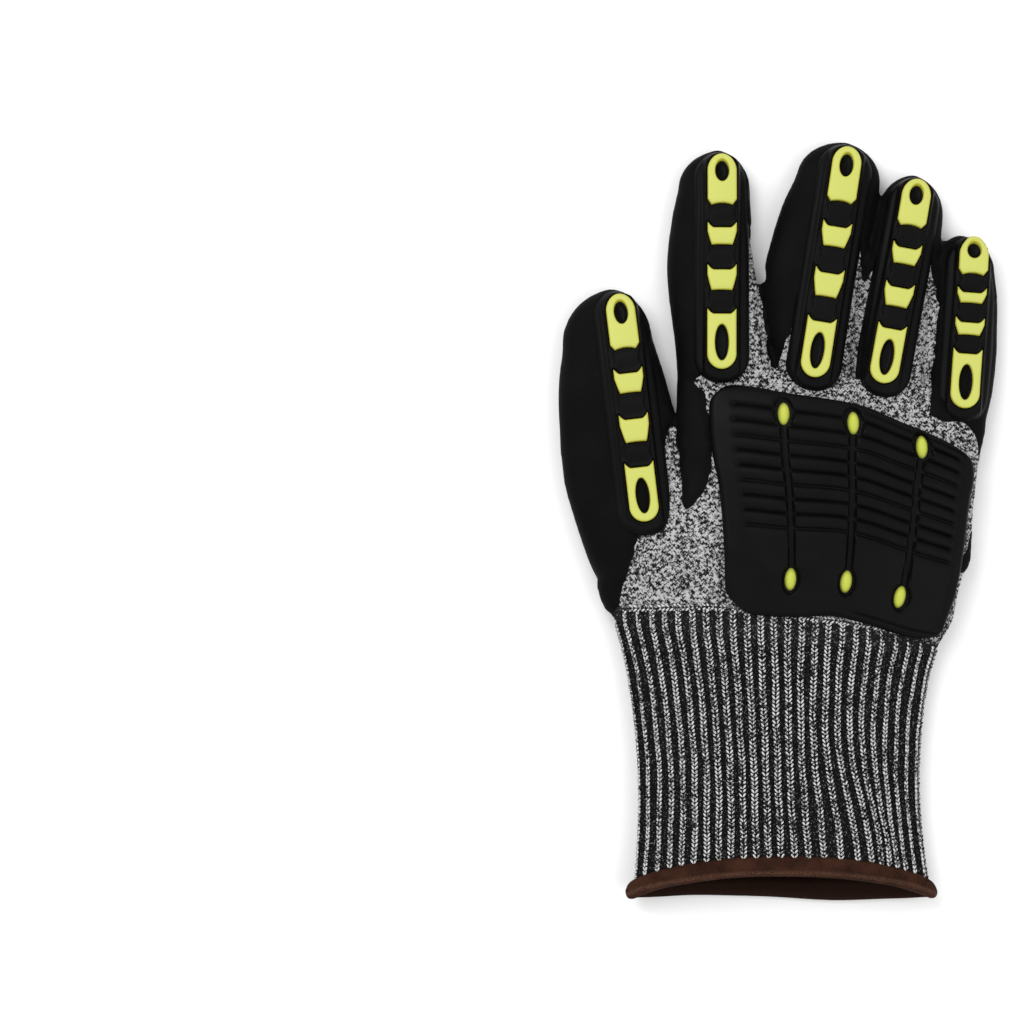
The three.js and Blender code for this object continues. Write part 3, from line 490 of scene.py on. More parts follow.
def rounded(outline, steps=6):
    """A closed outline with its corners rounded, as a curve through its points."""
    p = np.array(outline, float)
    before, after, beyond = np.roll(p, 1, 0), np.roll(p, -1, 0), np.roll(p, -2, 0)
    bend = 2 * before - 5 * p + 4 * after - beyond
    twist = 3 * p - before - 3 * after + beyond
    shares = np.arange(steps) / steps
    curve = [0.5 * (2 * p + (after - before) * t + bend * t**2 + twist * t**3) for t in shares]
    return np.stack(curve, 1).reshape(-1, 2)


def waves(points, size, seed):
    """A soft uneven field between about -1 and 1, from a few waves in seeded directions."""
    rng = np.random.default_rng(seed)
    total = np.zeros(len(points))
    for _ in range(7):
        direction = rng.normal(size=points.shape[1])
        direction *= 2 * math.pi / (size * rng.uniform(0.7, 1.6)) / np.linalg.norm(direction)
        total += np.sin(points @ direction + rng.uniform(0, 2 * math.pi))
    return total / 7**0.5


def new_mesh(name, points, faces):
    """A mesh in metres of the row frame, from points in millimetres of the wrist's frame."""
    mesh = bpy.data.meshes.new(name)
    placed = (points + SHIFT) / 1000
    mesh.from_pydata(placed.tolist(), [], faces.tolist() if hasattr(faces, "tolist") else faces)
    mesh.validate()
    return mesh


def new_object(name, data):
    made = bpy.data.objects.new(name, data)
    bpy.context.scene.collection.objects.link(made)
    return made


def add_piece(name, points, tris, material, replaced, sharp=40, marks=None):
    """A finished piece. sharp is in degrees, and marks are point attributes by name."""
    mesh = new_mesh(name, points, tris)
    mesh.materials.append(material)
    for key, values in (marks or {}).items():
        attribute = mesh.attributes.new(key, "FLOAT", "POINT")
        attribute.data.foreach_set("value", np.asarray(values, np.float32))
    mesh.shade_smooth()
    mesh.set_sharp_from_angle(angle=math.radians(sharp))
    finish_piece(new_object(name, mesh), replaced)


def finish_piece(piece, replaced):
    """Puts a piece under the root body and hides the imported parts that it stands for."""
    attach(piece, "root")
    if replaced:
        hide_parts(*replaced)


def evaluated_mesh(piece):
    """A plain mesh of a piece with its modifiers applied."""
    graph = bpy.context.evaluated_depsgraph_get()
    graph.update()
    return bpy.data.meshes.new_from_object(piece.evaluated_get(graph))


def arrays_of(mesh):
    """Points in millimetres of the wrist's frame, triangles and point normals of a mesh."""
    mesh.calc_loop_triangles()
    points = np.empty(len(mesh.vertices) * 3)
    mesh.vertices.foreach_get("co", points)
    normals = np.empty(len(mesh.vertices) * 3)
    mesh.vertex_normals.foreach_get("vector", normals)
    tris = np.empty(len(mesh.loop_triangles) * 3, np.int64)
    mesh.loop_triangles.foreach_get("vertices", tris)
    return points.reshape(-1, 3) * 1000 - SHIFT, tris.reshape(-1, 3), normals.reshape(-1, 3)


SHIFT = row_shift()
HANDS = {name: Finger(name) for name in FINGERS}


# Materials

class Value:
    """A shader socket that takes part in Python expressions."""

    def __init__(self, finish, socket):
        self.finish = finish
        self.socket = socket

    def math(self, operation, *inputs):
        return self.finish.add("Math", {"operation": operation}, dict(enumerate(inputs)))

    def __add__(self, other):
        return self.math("ADD", self, other)

    def __sub__(self, other):
        return self.math("SUBTRACT", self, other)

    def __rsub__(self, other):
        return self.math("SUBTRACT", other, self)

    def __mul__(self, other):
        return self.math("MULTIPLY", self, other)

    def __truediv__(self, other):
        return self.math("DIVIDE", self, other)

    def __abs__(self):
        return self.math("ABSOLUTE", self)

    __radd__ = __add__
    __rmul__ = __mul__

    def fraction(self):
        return self.math("FRACT", self)

    def between(self, low, high):
        """0 below low, 1 above high, smooth in between."""
        settings = {"interpolation_type": "SMOOTHSTEP"}
        return self.finish.add("MapRange", settings, {"Value": self, "From Min": low, "From Max": high})


class Finish:
    """A material whose nodes are added one by one. place holds Object coordinates in millimetres."""

    def __init__(self, name, roughness, specular):
        self.material = bpy.data.materials.new(name)
        self.material.use_nodes = True
        self.tree = self.material.node_tree
        self.shader = self.tree.nodes["Principled BSDF"]
        self.feed(self.shader.inputs["Roughness"], roughness)
        self.feed(self.shader.inputs["Specular IOR Level"], specular)
        spot = self.add("TexCoord", {}, {}, "Object")
        self.place = self.add("VectorMath", {"operation": "SCALE"}, {0: spot, "Scale": 1000.0})

    def add(self, kind, settings, inputs, output=0):
        node = self.tree.nodes.new("ShaderNode" + kind)
        for key, value in settings.items():
            setattr(node, key, value)
        for key, value in inputs.items():
            self.feed(node.inputs[key], value)
        return Value(self, node.outputs[output])

    def feed(self, socket, value):
        if isinstance(value, Value):
            self.tree.links.new(value.socket, socket)
        elif socket.type == "RGBA":
            socket.default_value = (*value, 1)
        else:
            socket.default_value = value

    def split(self, vector):
        parts = self.add("SeparateXYZ", {}, {0: vector}).socket.node.outputs
        return [Value(self, socket) for socket in parts]

    def noise(self, size, detail=2.0, roughness=0.5, stretch=None, at=None):
        """Noise of a size in millimetres. stretch multiplies its coordinates."""
        at = at or self.place
        if stretch:
            at = self.add("VectorMath", {"operation": "MULTIPLY"}, {0: at, 1: stretch})
        inputs = {"Vector": at, "Scale": 1 / size, "Detail": detail, "Roughness": roughness}
        return self.add("TexNoise", {}, inputs)

    def colours(self, share, low, high):
        return self.add("Mix", {"data_type": "RGBA"}, {0: share, 6: low, 7: high}, 2)

    def mark(self, name):
        return self.add("Attribute", {"attribute_name": name}, {}, "Fac")

    def paint(self, colour, height=None, depth=0.2, roughness=None):
        """Feeds colour, roughness and a bump whose height is in millimetres times depth."""
        self.feed(self.shader.inputs["Base Color"], colour)
        if roughness is not None:
            self.feed(self.shader.inputs["Roughness"], roughness)
        if height is not None:
            bump = self.add("Bump", {}, {"Height": height, "Distance": depth / 1000, "Strength": 1.0})
            self.feed(self.shader.inputs["Normal"], bump)
        return self.material


def times(colour, share):
    """A colour made lighter or darker."""
    return tuple(part * share for part in colour)


def knit_finish(colours):
    """Marled plain knit: light grey stitches with black flecks in short dashes, and painted shade between the
    courses.
    """
    wale_width, course_height = 1.25, 0.74
    finish = Finish("marled_knit", 0.9, 0.12)
    drift = finish.noise(9, 1) * 1.2
    x, y, _ = finish.split(finish.place)
    wale = x / wale_width + drift
    lean = abs(wale.fraction() - 0.5)
    course = y / course_height + lean * 1.5 + drift * 0.4
    along_yarn = finish.add("CombineXYZ", {}, {0: wale * 1.1, 1: course, 2: 0.0})
    strands = finish.noise(1.4, 2, 0.6, at=along_yarn)
    flecks = finish.noise(0.7, 2, 0.6, (1.2, 0.8, 1))
    light = (strands * 1.2 + flecks * 0.6 + finish.noise(6) * 0.3).between(0.95, 1.19)
    leg = 1 - lean * lean * 3.2
    loop = 1 - abs(course.fraction() - 0.5) * 1.5
    # Painted shade: the colour darkens towards the gaps between each course's loops.
    plain = light * (loop * 0.5 + 0.5)
    ribbed = finish.mark("ribbed")
    shade = plain * (1 - ribbed) + ribbed * flecks.between(0.56, 0.7) * 0.22
    colour = finish.colours(shade, colours.yarn_dark, colours.yarn_light)
    return finish.paint(colour, leg * 0.5 + loop * 0.8 + strands * 0.7, 0.34)


def rib_finish(colours):
    """The cuff's raised stitches: marled yarn."""
    finish = Finish("rib_yarn", 0.85, 0.2)
    fibres = finish.noise(0.95, 3, 0.6)
    patches = finish.noise(3.4, stretch=(1, 0.35, 1))
    light = (fibres * 1.1 + patches * 0.35).between(0.63, 0.77)
    strands = finish.noise(0.5, stretch=(3, 0.8, 3))
    return finish.paint(finish.colours(light, colours.yarn_dark, colours.yarn_light), strands, 0.15)


def rib_ground_finish(colours):
    """The black ground between the ribs."""
    finish = Finish("rib_ground", 0.95, 0.04)
    fibres = finish.noise(0.62, 3, 0.6, (1.3, 1, 1))
    specks = fibres.between(0.58, 0.7) * 0.28
    return finish.paint(finish.colours(specks, colours.ground, colours.yarn_light), fibres, 0.3)


def coating_finish(colours):
    """The dipped coating: matt, with a slight grain."""
    finish = Finish("dipped_coating", 0.6, 0.04)
    grain = finish.noise(0.55, 4, 0.65)
    clouds = finish.noise(14, 3)
    colour = finish.colours(clouds.between(0.3, 0.7), colours.coating, times(colours.coating, 1.5))
    return finish.paint(colour, grain + clouds * 2, 0.1, 0.52 + grain * 0.2)


def guard_finish(colours):
    """Moulded black rubber: satin, faintly mottled."""
    finish = Finish("guard_rubber", 0.45, 0.06)
    clouds = finish.noise(11)
    colour = finish.colours(clouds.between(0.35, 0.7), colours.guard, times(colours.guard, 1.35))
    return finish.paint(colour, finish.noise(0.7, 3, 0.6), 0.04, 0.36 + clouds * 0.2)


def bright_finish(name, colour, shaded):
    """Bright moulded rubber, with painted shade on its bevels and in its hollows."""
    finish = Finish(name, 0.42, 0.2)
    grain = finish.noise(0.9, 3, 0.6)
    # Painted shade: where inwards is low, the shaded colour is mixed in.
    flat = (finish.mark("inwards") + grain * 0.25).between(0.2, 0.75)
    return finish.paint(finish.colours(flat, shaded, colour), grain, 0.03, 0.36 + grain * 0.16)


def hem_finish(colours):
    """Dark brown overlocked yarn, with a lighter line of seam stitches and painted shade on its inner face.
    """
    finish = Finish("hem_yarn", 0.88, 0.1)
    strands = finish.noise(0.5, 3, 0.6, (2.6, 0.7, 1))
    # Painted shade: the inner mark darkens the inner face, inside the mouth.
    share = (strands * 0.6 + finish.noise(6) * 0.6).between(0.35, 0.8) * (1 - finish.mark("inner") * 0.9)
    colour = finish.colours(share, times(colours.hem, 0.35), times(colours.hem, 1.35))
    seam = finish.mark("seam") * strands.between(0.35, 0.6) * 0.8
    return finish.paint(finish.colours(seam, colour, colours.seam), strands, 0.18)


def floor_finish():
    """A pale, nearly even studio floor."""
    finish = Finish("pale_floor", 0.9, 0.1)
    return finish.paint(finish.colours(finish.noise(40), (0.9, 0.9, 0.9), (0.93, 0.93, 0.93)))


# Pieces

def glove_skin(voxel):
    """The knit's outer surface: fingers and hand lofted, joined by a fine remesh and smoothed."""
    angles = np.linspace(0, 2 * math.pi, 72, endpoint=False)
    round_x, round_z = power(np.cos(angles), 2 / SQUARENESS), power(np.sin(angles), 2 / SQUARENESS)
    points, faces = [], []

    def add_loft(middle, half_width, across, height, before=None):
        plan = middle[:, None] + (half_width[:, None] * round_x)[..., None] * across
        rings = np.concatenate([plan, np.maximum(SKIN, height)[..., None]], -1)
        if before is not None:
            rings = np.concatenate([before, rings])
        loft, tris = rings_mesh(rings)
        faces.append(tris + sum(len(p) for p in points))
        points.append(loft)

    for finger in HANDS.values():
        body = np.linspace(0, finger.last, 40)
        tip = finger.last + (1 - finger.last) * np.sin(np.linspace(0, math.pi / 2, 16)[1:])
        share = np.concatenate([body, tip])
        shift, half_width, half_height = finger.size(share)
        # The length is the coated finger's, so the knit's tip lies a coat's thickness short of it
        along = share * finger.length - SKIN * np.maximum(0, share - 0.5) * 2
        middle = finger.root + np.outer(along, finger.along) + np.outer(shift, finger.across)
        height = centre_height(half_height)[:, None] + half_height[:, None] * round_z
        add_loft(middle, half_width, finger.across, height)

    for root, tip in np.array(WEBS, float):
        along = (tip - root) / np.linalg.norm(tip - root)
        share = np.linspace(0, 1, 40)
        narrowing = np.sqrt(np.maximum(0.05, 1 - np.clip((share - 0.92) / 0.08, 0, 1) ** 2))
        height = SKIN + WEB_HALF_HEIGHT * (FLOOR_SHARE + narrowing[:, None] * round_z)
        across = np.array([along[1], -along[0]])
        add_loft(mix(root, tip, share[:, None]), narrowing * WEB_HALF_WIDTH, across, height)

    middle, half_width, across, half_height = hand_sizes()
    rows = np.linspace(0, len(middle) - 1, 60)
    column = lambda values: smooth(list(enumerate(values)))(rows)
    middle = np.stack([column(middle[:, k]) for k in (0, 1)], 1)
    across = np.stack([column(across[:, k]) for k in (0, 1)], 1)
    half_height = column(half_height)
    height = centre_height(half_height)[:, None] + half_height[:, None] * round_z
    cuff = np.stack([cuff_points(down, angles, 0) for down in (0.24, 0.18, 0.12, 0.06, 0.02)])
    add_loft(middle, column(half_width), across[:, None], height, cuff)

    skin = new_object("skin", new_mesh("skin", np.concatenate(points), np.concatenate(faces)))
    remesh = skin.modifiers.new("union", "REMESH")
    remesh.mode = "VOXEL"
    remesh.voxel_size = voxel
    relax = skin.modifiers.new("relax", "SMOOTH")
    relax.factor = 0.5
    relax.iterations = 7
    made = evaluated_mesh(skin)
    arrays = arrays_of(made)
    for mesh in (skin.data, made):
        bpy.data.meshes.remove(mesh)
    return arrays


def wrist_line(points):
    """How far a point lies beyond the wrist's line, towards the fingers."""
    return points[:, 1] + WRIST_SLOPE * points[:, 0] - wrist_size()["y"]


def rib_rise(x):
    """How far the ribs run on above the wrist's line."""
    return smooth(RIB_RISE)(x)


SKIN_CACHE = {}


def glove_surface():
    """The glove's knit surface, made once: points, triangles and normals."""
    if not SKIN_CACHE:
        SKIN_CACHE["skin"] = glove_skin(bpy.context.scene.glove_sizes.voxel)
    return SKIN_CACHE["skin"]


def knit_field(points):
    """Distance outside the bare knit, negative where the knit is bare."""
    x, y, z = points.T
    before_guard = -4
    on_hand = lambda rows: np.array(rows) * (HAND_WIDTH, HAND_LENGTH)
    field = np.maximum(distance_to(rounded(on_hand(KNIT_OUTLINE)), x, y), FLANK - z)
    for finger in HANDS.values():
        for side, (leaves, ends) in finger.knit.items():
            def edge(distance):
                share = finger.guard_from + distance / finger.length
                sideways = (finger.left if side < 0 else finger.right)(share) * finger.width + 2 * side
                return finger.root + finger.along * share * finger.length + finger.across * sideways

            at = lambda distance, sideways: finger.start + finger.forward * distance + finger.side * sideways
            leaves, ends = leaves * finger.guard_length, ends * finger.guard_length
            under_guard = side * (GUARD_WIDTH / 2 - 1)
            wedge = [at(before_guard, 0), edge(before_guard), edge(leaves / 2), edge(leaves),
                     at(ends, under_guard), at(ends, 0)]
            field = np.minimum(field, np.maximum(distance_to(wedge, x, y), FLANK - z))
    return np.maximum(field, -distance_to(on_hand(COATED_TONGUE), x, y))


def make_liner(colours):
    """The knit, whose lip is tucked into the cuff. ribbed marks where the ribs run on above the wrist."""
    lip, tuck_outside, tuck_inside = 2.5, 1.1, 0.4
    points, tris, normals = glove_surface()
    points, tris, normals = clip(points, tris, wrist_line(points) + lip, normals)
    tuck = step(0.8, -lip, wrist_line(points))
    outer = points - normals * (tuck * tuck_outside)[:, None]
    verts, faces = shell(outer, points - normals * (KNIT_WALL + tuck * tuck_inside)[:, None], tris)
    beyond = wrist_line(points) - rib_rise(points[:, 0])
    ribbed = step(1.3, 0.7, beyond) * step(-0.1, 0.3, normals[:, 2])
    marks = {"ribbed": np.concatenate([ribbed, np.ones_like(ribbed)])}
    solids = ["knit_fingers", "knit_thumb", "knit_palm"]
    add_piece("knit_liner", verts, faces, knit_finish(colours), solids, 60, marks)


def make_coating(sizes, colours):
    """The coating, thin at its wavy edge and of full thickness from edge_width on."""
    edge_thickness, edge_width, knit_gap = 0.22, 2.6, 0.06
    thumb_overlap, palm_overlap = 11, 2.0
    points, tris, normals = glove_surface()
    field = knit_field(points)
    field += 0.35 * waves(points, 6, 3) * np.clip(1.5 - np.abs(field) / 4, 0, 1)
    thumb_side = points[:, 0] - KNIT_OUTLINE[0][0] * HAND_WIDTH
    palm = np.where(points[:, 2] < centre_height(HAND_HALF_HEIGHT) * 0.8, palm_overlap, 0)
    overlap = np.maximum(thumb_overlap * step(2, -4, thumb_side), palm)
    field = np.minimum(field, wrist_line(points) + overlap + 0.3 * waves(points, 9, 5))
    points, tris, data = clip(points, tris, field, np.column_stack([normals, field]))
    normals, depth = data[:, :3], data[:, 3]
    thickness = sizes.coating * 1000
    height = edge_thickness + (thickness - edge_thickness) * step(0, edge_width, depth)
    height += 0.05 * waves(points, 12, 8) * step(1, 4, depth)
    outer = points + normals * height[:, None]
    outer[:, 2] = np.maximum(outer[:, 2], REST_GAP)
    verts, faces = shell(outer, points + normals * knit_gap, tris)
    material = coating_finish(colours)
    add_piece("palm_coating_skin", verts, faces, material, ["palm_coating"], 70)


def insert_ends(finger, name):
    """Where an insert starts and ends on its strip, and its hole's middle and length."""
    base_end = BASE_START + BASE_LENGTH
    if name == "base":
        return BASE_START, base_end, mix(BASE_START, base_end, BASE_HOLE_PLACE), BASE_HOLE
    low, high = (mix(base_end, finger.guard_length, share) for share in INSERT_PLACES[name])
    hole = TIP_HOLE_SHARE * (high - low) if name == "tip" else 0
    return low, high, mix(low, high, TIP_HOLE_PLACE), hole


def insert_field(finger, name, u, v):
    """Distance inside an insert's outline, and outside its hole, in millimetres."""
    low, high, hole, hole_length = insert_ends(finger, name)
    half = INSERT_WIDTH / 2
    body = half - np.abs(u)
    round_end = lambda centre: half - np.hypot(u, v - centre)
    ear = np.clip((np.abs(u) - half * 0.55) / (half * 0.45), 0, 1)
    ears = high - INSERT_EAR + INSERT_EAR * ear**1.6 - v
    if name == "base":
        foot = np.where(v < low + half, round_end(low + half), body)
        inside = np.minimum(foot, ears)
    else:
        taper = half * (0.7 + 0.3 * np.clip((v - low) / (0.6 * (high - low)), 0, 1) ** 0.9)
        concave = v - low - 0.35 * (1 - (u / half) ** 2)
        if name == "tip":
            taper = half * (0.72 + 0.28 * np.clip((v - low) / INSERT_EAR, 0, 1))
            concave = v - low - 0.7 * (1 - np.clip(u / half / 0.72, -1, 1) ** 2)
            top = np.where(v > high - half, round_end(high - half), body)
        else:
            top = ears
        inside = np.minimum(np.minimum(taper - np.abs(u), concave), np.minimum(top, body))
    if not hole_length:
        return inside, np.full_like(u, 9.0)
    a, b = HOLE_WIDTH / 2, hole_length / 2
    reach = np.hypot(u / a, (v - hole) / b)
    slope = np.hypot(u / a**2, (v - hole) / b**2) / np.maximum(reach, 1e-6)
    return inside, (reach - 1) / np.maximum(slope, 1e-3)


def strip_field(finger, u, v):
    """Distance inside the guard strip's outline."""
    half, length = GUARD_WIDTH / 2, finger.guard_length
    radius = half * 0.92
    over = np.maximum(0, np.maximum(radius - v, v - (length - radius)))
    rounding = radius - np.hypot(over, np.maximum(0, np.abs(u) - (half - radius)))
    inside = np.where(over > 0, rounding, half - np.abs(u))
    offset = finger.start + v[:, None] * finger.forward - finger.root
    share = np.clip(offset @ finger.along / finger.length, 0, 0.99)
    shift, half_width, _ = finger.size(share)
    limit = half_width + SKIN - 0.3 - np.abs(u + offset @ finger.across - shift)
    return np.minimum(inside, np.where(half - np.abs(u) < inside + 4, np.minimum(inside, limit), inside))


def guard_heights(finger, u, v, inside):
    """Height of the guard's upper face over its middle line."""
    rim = GUARD_RIM * (0.35 + 0.65 * round_edge(inside, 1.5)) + 0.16 * hill(inside - 1.7, 0.45)
    rail_half = RAIL_WIDTH / 2 - 0.35
    rail = step(rail_half + 0.75, rail_half - 0.1, np.abs(u)) * step(0.4, 2.2, inside)
    top = np.full_like(u, RAIL_HEIGHT)
    for name, following in zip(INSERT_NAMES[:-1], INSERT_NAMES[1:]):
        low = insert_ends(finger, name)[1]
        high = insert_ends(finger, following)[0]
        t = np.clip((v - low) / (high - low), 0, 1)
        between = (v > low - INSERT_EAR) & (v < high + 0.4)
        waist = INSERT_WIDTH / 2 - 0.75 * np.sin(math.pi * t)
        hump = 0.62 + 0.3 * np.sin(math.pi * t)
        top += between * hump * step(waist + 0.25, waist - 0.55, np.abs(u))
    seat_floor, hole_floor = INSERT_SEAT + 0.25, 0.9
    for name in INSERT_NAMES:
        outline, hole = insert_field(finger, name, u, v)
        seat = step(-0.38, -0.08, outline)
        bank = 0.35 * hill(outline + 0.75, 0.45)
        top = mix(top, seat_floor, seat) + bank * (1 - seat)
        top = np.where(hole < 0, mix(seat_floor, hole_floor, step(0, -1.4, hole)), top)
    return mix(finger.fall(u, v) + rim, top, rail)


def make_finger_guards(colours):
    """A strip on each finger, its lower face sunk a little into the knit."""
    material = guard_finish(colours)
    margin, spacing = 0.5, 0.41
    half = GUARD_WIDTH / 2 + margin
    for finger in HANDS.values():
        field = lambda u, v: strip_field(finger, u, v)
        along = np.arange(-margin, finger.guard_length + margin + 0.4, spacing)
        u, v, tris = cut_grid(np.linspace(-half, half, 52), along, field)
        upper = finger.strip_points(u, v, guard_heights(finger, u, v, np.maximum(0, field(u, v))))
        lower = finger.strip_points(u, v, finger.fall(u, v) - GUARD_SUNK)
        verts, faces = shell(upper, lower, tris)
        node = f"{finger.name}_guard"
        add_piece(f"{node}_strip", verts, faces, material, [node], 50)


def make_inserts(colours):
    """The bright inserts, crowned and bevelled. inwards marks how far a point is from their edges, and sets
    their painted shade.
    """
    material = bright_finish("bright_rubber", colours.bright, colours.bright_shaded)
    half = INSERT_WIDTH / 2
    for finger in HANDS.values():
        for name in INSERT_NAMES:
            low, high, _, _ = insert_ends(finger, name)
            across, along = np.linspace(-half - 0.2, half + 0.2, 32), np.arange(low - 0.4, high + 0.6, 0.34)
            field = lambda u, v: np.minimum(*insert_field(finger, name, u, v))
            u, v, tris = cut_grid(across, along, field)
            outline, hole = insert_field(finger, name, u, v)
            sloped = 0.55 * (1 - round_edge(outline, 0.8)) + 0.5 * (1 - round_edge(hole, 0.7))
            inwards = np.minimum(np.clip(outline / 0.9, 0, 1), np.clip(hole / 0.8, 0, 1))
            if name != "base":
                sloped += 0.35 * (1 - step(0, 2.4, v - low))
                # Painted shade: the lower end's bevel, which slopes down to the black segment, is marked as
                # near the edge.
                inwards = inwards * (0.4 + 0.6 * step(0.2, 1.6, v - low))
            upper = finger.strip_points(u, v, INSERT_HEIGHT + 0.25 * (1 - (u / half) ** 2) - sloped)
            lower = finger.strip_points(u, v, np.full_like(u, INSERT_SEAT + 0.4))
            verts, faces = shell(upper, lower, tris)
            marks = {"inwards": np.concatenate([inwards, np.zeros_like(inwards)])}
            node = f"{finger.name}_insert_{name}"
            add_piece(f"{node}_moulded", verts, faces, material, [node], 45, marks)


def plate_plan(across, down):
    """A place on the plate, from shares across and down it."""
    left = smooth(PLATE_SIDES, 1)(down) * PLATE_WIDTH
    right = smooth(PLATE_SIDES, 2)(down) * PLATE_WIDTH
    top = smooth(PLATE_ENDS, 1)(across) * PLATE_LENGTH
    bottom = smooth(PLATE_ENDS, 2)(across) * PLATE_LENGTH
    return PLATE_X + mix(left, right, across), PLATE_Y - mix(top, bottom, down)


def plate_points(across, down, height):
    """Points over the back of the hand, raised square to it."""
    x, y = plate_plan(across, down)
    h = 0.5
    slope_x = (hand_top(x + h, y) - hand_top(x - h, y)) / (2 * h)
    slope_y = (hand_top(x, y + h) - hand_top(x, y - h)) / (2 * h)
    normal = np.stack([-slope_x, -slope_y, np.ones_like(x)], 1)
    normal /= np.linalg.norm(normal, axis=1)[:, None]
    return np.column_stack([x, y, hand_top(x, y)]) + normal * height[:, None]


def plate_inside(across, down):
    """Distance inside the plate's rounded outline."""
    side = np.minimum(across, 1 - across) * PLATE_MEAN_WIDTH
    end = np.minimum(down, 1 - down) * (PLATE_LENGTH * 0.97)
    radius = 4.0
    corner = radius - np.hypot(np.maximum(0, radius - side), np.maximum(0, radius - end))
    return np.where((side < radius) & (end < radius), corner, np.minimum(side, end))


def plate_heights(across, down):
    """Height of the plate's face: a rounded edge, grooves, channels and recesses round the studs."""
    inside = plate_inside(across, down)
    height = PLATE_THICKNESS * (0.3 + 0.7 * round_edge(inside, 2.2))
    height -= 0.45 * hill(inside - 3.1, 0.4) * step(0.5, 0.62, across)
    depth = np.zeros_like(height)
    bays = step(0.075, 0.105, across) * step(0.955, 0.93, across)
    for i in range(GROOVE_COUNT):
        away = down * PLATE_LENGTH - (FIRST_GROOVE + i * GROOVE_PITCH)
        depth = np.maximum(depth, (hill(away, 0.55) * 0.85 + hill(away, 1.5) * 0.35) * bays)
    for upper, lower in CHANNELS:
        away = np.abs(across - mix(upper, lower, down)) * PLATE_MEAN_WIDTH
        runs = step(STUD_DOWN["upper"] - 0.01, STUD_DOWN["upper"] + 0.02, down)
        runs *= step(STUD_DOWN["lower"] + 0.01, STUD_DOWN["lower"] - 0.02, down)
        depth = np.maximum(depth, CHANNEL_DEPTH * step(1.55, 0.8, away) * runs)
        for stud_down in STUD_DOWN.values():
            sideways = (across - mix(upper, lower, stud_down)) * PLATE_MEAN_WIDTH
            along = (down - stud_down) * PLATE_LENGTH
            reach = np.hypot(sideways / (STUD_WIDTH / 2 + 1.1), along / (STUD_LENGTH / 2 + 1.0))
            depth = np.maximum(depth, RECESS_DEPTH * step(1.12, 0.88, reach))
    return height - depth


def make_hand_guard(colours):
    """The grooved plate over the knuckles, its lower face sunk a little into the knit."""
    inside = lambda u, v: plate_inside(u, v) + 1e-6
    u, v, tris = cut_grid(np.linspace(0, 1, 172), np.linspace(0, 1, 196), inside, turned=True)
    upper = plate_points(u, v, plate_heights(u, v))
    verts, faces = shell(upper, plate_points(u, v, np.full_like(u, -PLATE_SUNK)), tris)
    add_piece("knuckle_guard", verts, faces, guard_finish(colours), ["hand_guard"], 50)


def make_studs(colours):
    """Oval domes in the channels' recesses. inwards rises towards the top, so their painted shade lies at
    their foot.
    """
    # Painted shade: a darker copy of the stud colour, mixed in towards the foot.
    material = bright_finish("stud_rubber", colours.stud, times(colours.stud, 0.45))
    angles = np.linspace(0, 2 * math.pi, 28, endpoint=False)
    turns = np.linspace(0, 1, 9)
    for i, (upper, lower) in enumerate(CHANNELS):
        for end, down in STUD_DOWN.items():
            across = mix(upper, lower, down)
            centre = np.array(plate_plan(across, down))
            forward = np.array(plate_plan(across, down - 0.04)) - centre
            forward /= np.linalg.norm(forward)
            side = np.array([forward[1], -forward[0]])
            rings = []
            for t in turns:
                share = math.cos(t * math.pi / 2) if t < 1 else 0.04
                height = mix(STUD_FOOT, STUD_HEIGHT, math.sin(t * math.pi / 2))
                plan = centre + np.outer(np.cos(angles) * share * STUD_WIDTH / 2, side)
                plan += np.outer(np.sin(angles) * share * STUD_LENGTH / 2, forward)
                rings.append(np.column_stack([plan, hand_top(*centre) + np.full(len(angles), height)]))
            points, tris = rings_mesh(np.stack(rings))
            marks = {"inwards": np.append(np.repeat(turns, len(angles)), [0, 1])}
            node = f"stud_{end}_{i + 1}"
            add_piece(f"{node}_moulded", points, tris, material, [node], 60, marks)


def cuff_fold(share, down):
    """Sideways drift of the ribs in the soft fold near the hem, in shares of the girth."""
    return -0.028 * hill(share - FOLD_SHARE, 0.06) * step(0.3, 0.95, down)


def cuff_relief(points):
    """The soft fold's ridge across the lower cuff, and the valley beside it."""
    x, y = points[..., 0] - FOLD_X, points[..., 1] - FOLD_Y
    along, across = x * 0.8 - y * 0.6, x * 0.6 + y * 0.8
    lift = 1.3 * np.exp(-((across / 5) ** 2) - ((along / 20) ** 2))
    lift -= 0.9 * np.exp(-(((across + 9) / 6) ** 2) - ((along / 22) ** 2))
    points[..., 2] += lift * step(8, 12, points[..., 2])
    return points


def cuff_line(share, down, grow):
    """Points of the folded cuff at shares of its girth."""
    return cuff_relief(cuff_points(down, even_angles(share + cuff_fold(share, down)), grow))


def make_cuff_ground(sizes, colours):
    """The cuff's wall: rounded ribs outside, plain inside."""
    ribs = sizes.ribs
    share = np.arange(ribs * 8) / (ribs * 8)
    crest = 0.5 + 0.5 * np.cos(2 * math.pi * (share * ribs - RIB_PHASE))
    outer = -RIB_DEPTH * (1 - crest) - 0.35
    rings = [cuff_line(share, down, outer) for down in np.linspace(0, 1, 56)]
    rings += [cuff_line(share, down, -RIB_DEPTH - CUFF_WALL) for down in np.linspace(1, 0.0, 40)]
    points, tris = ring_tube(rings)
    material = rib_ground_finish(colours)
    add_piece("rib_cuff_ground", points, tris[:, ::-1], material, ["rib_cuff"], 80)


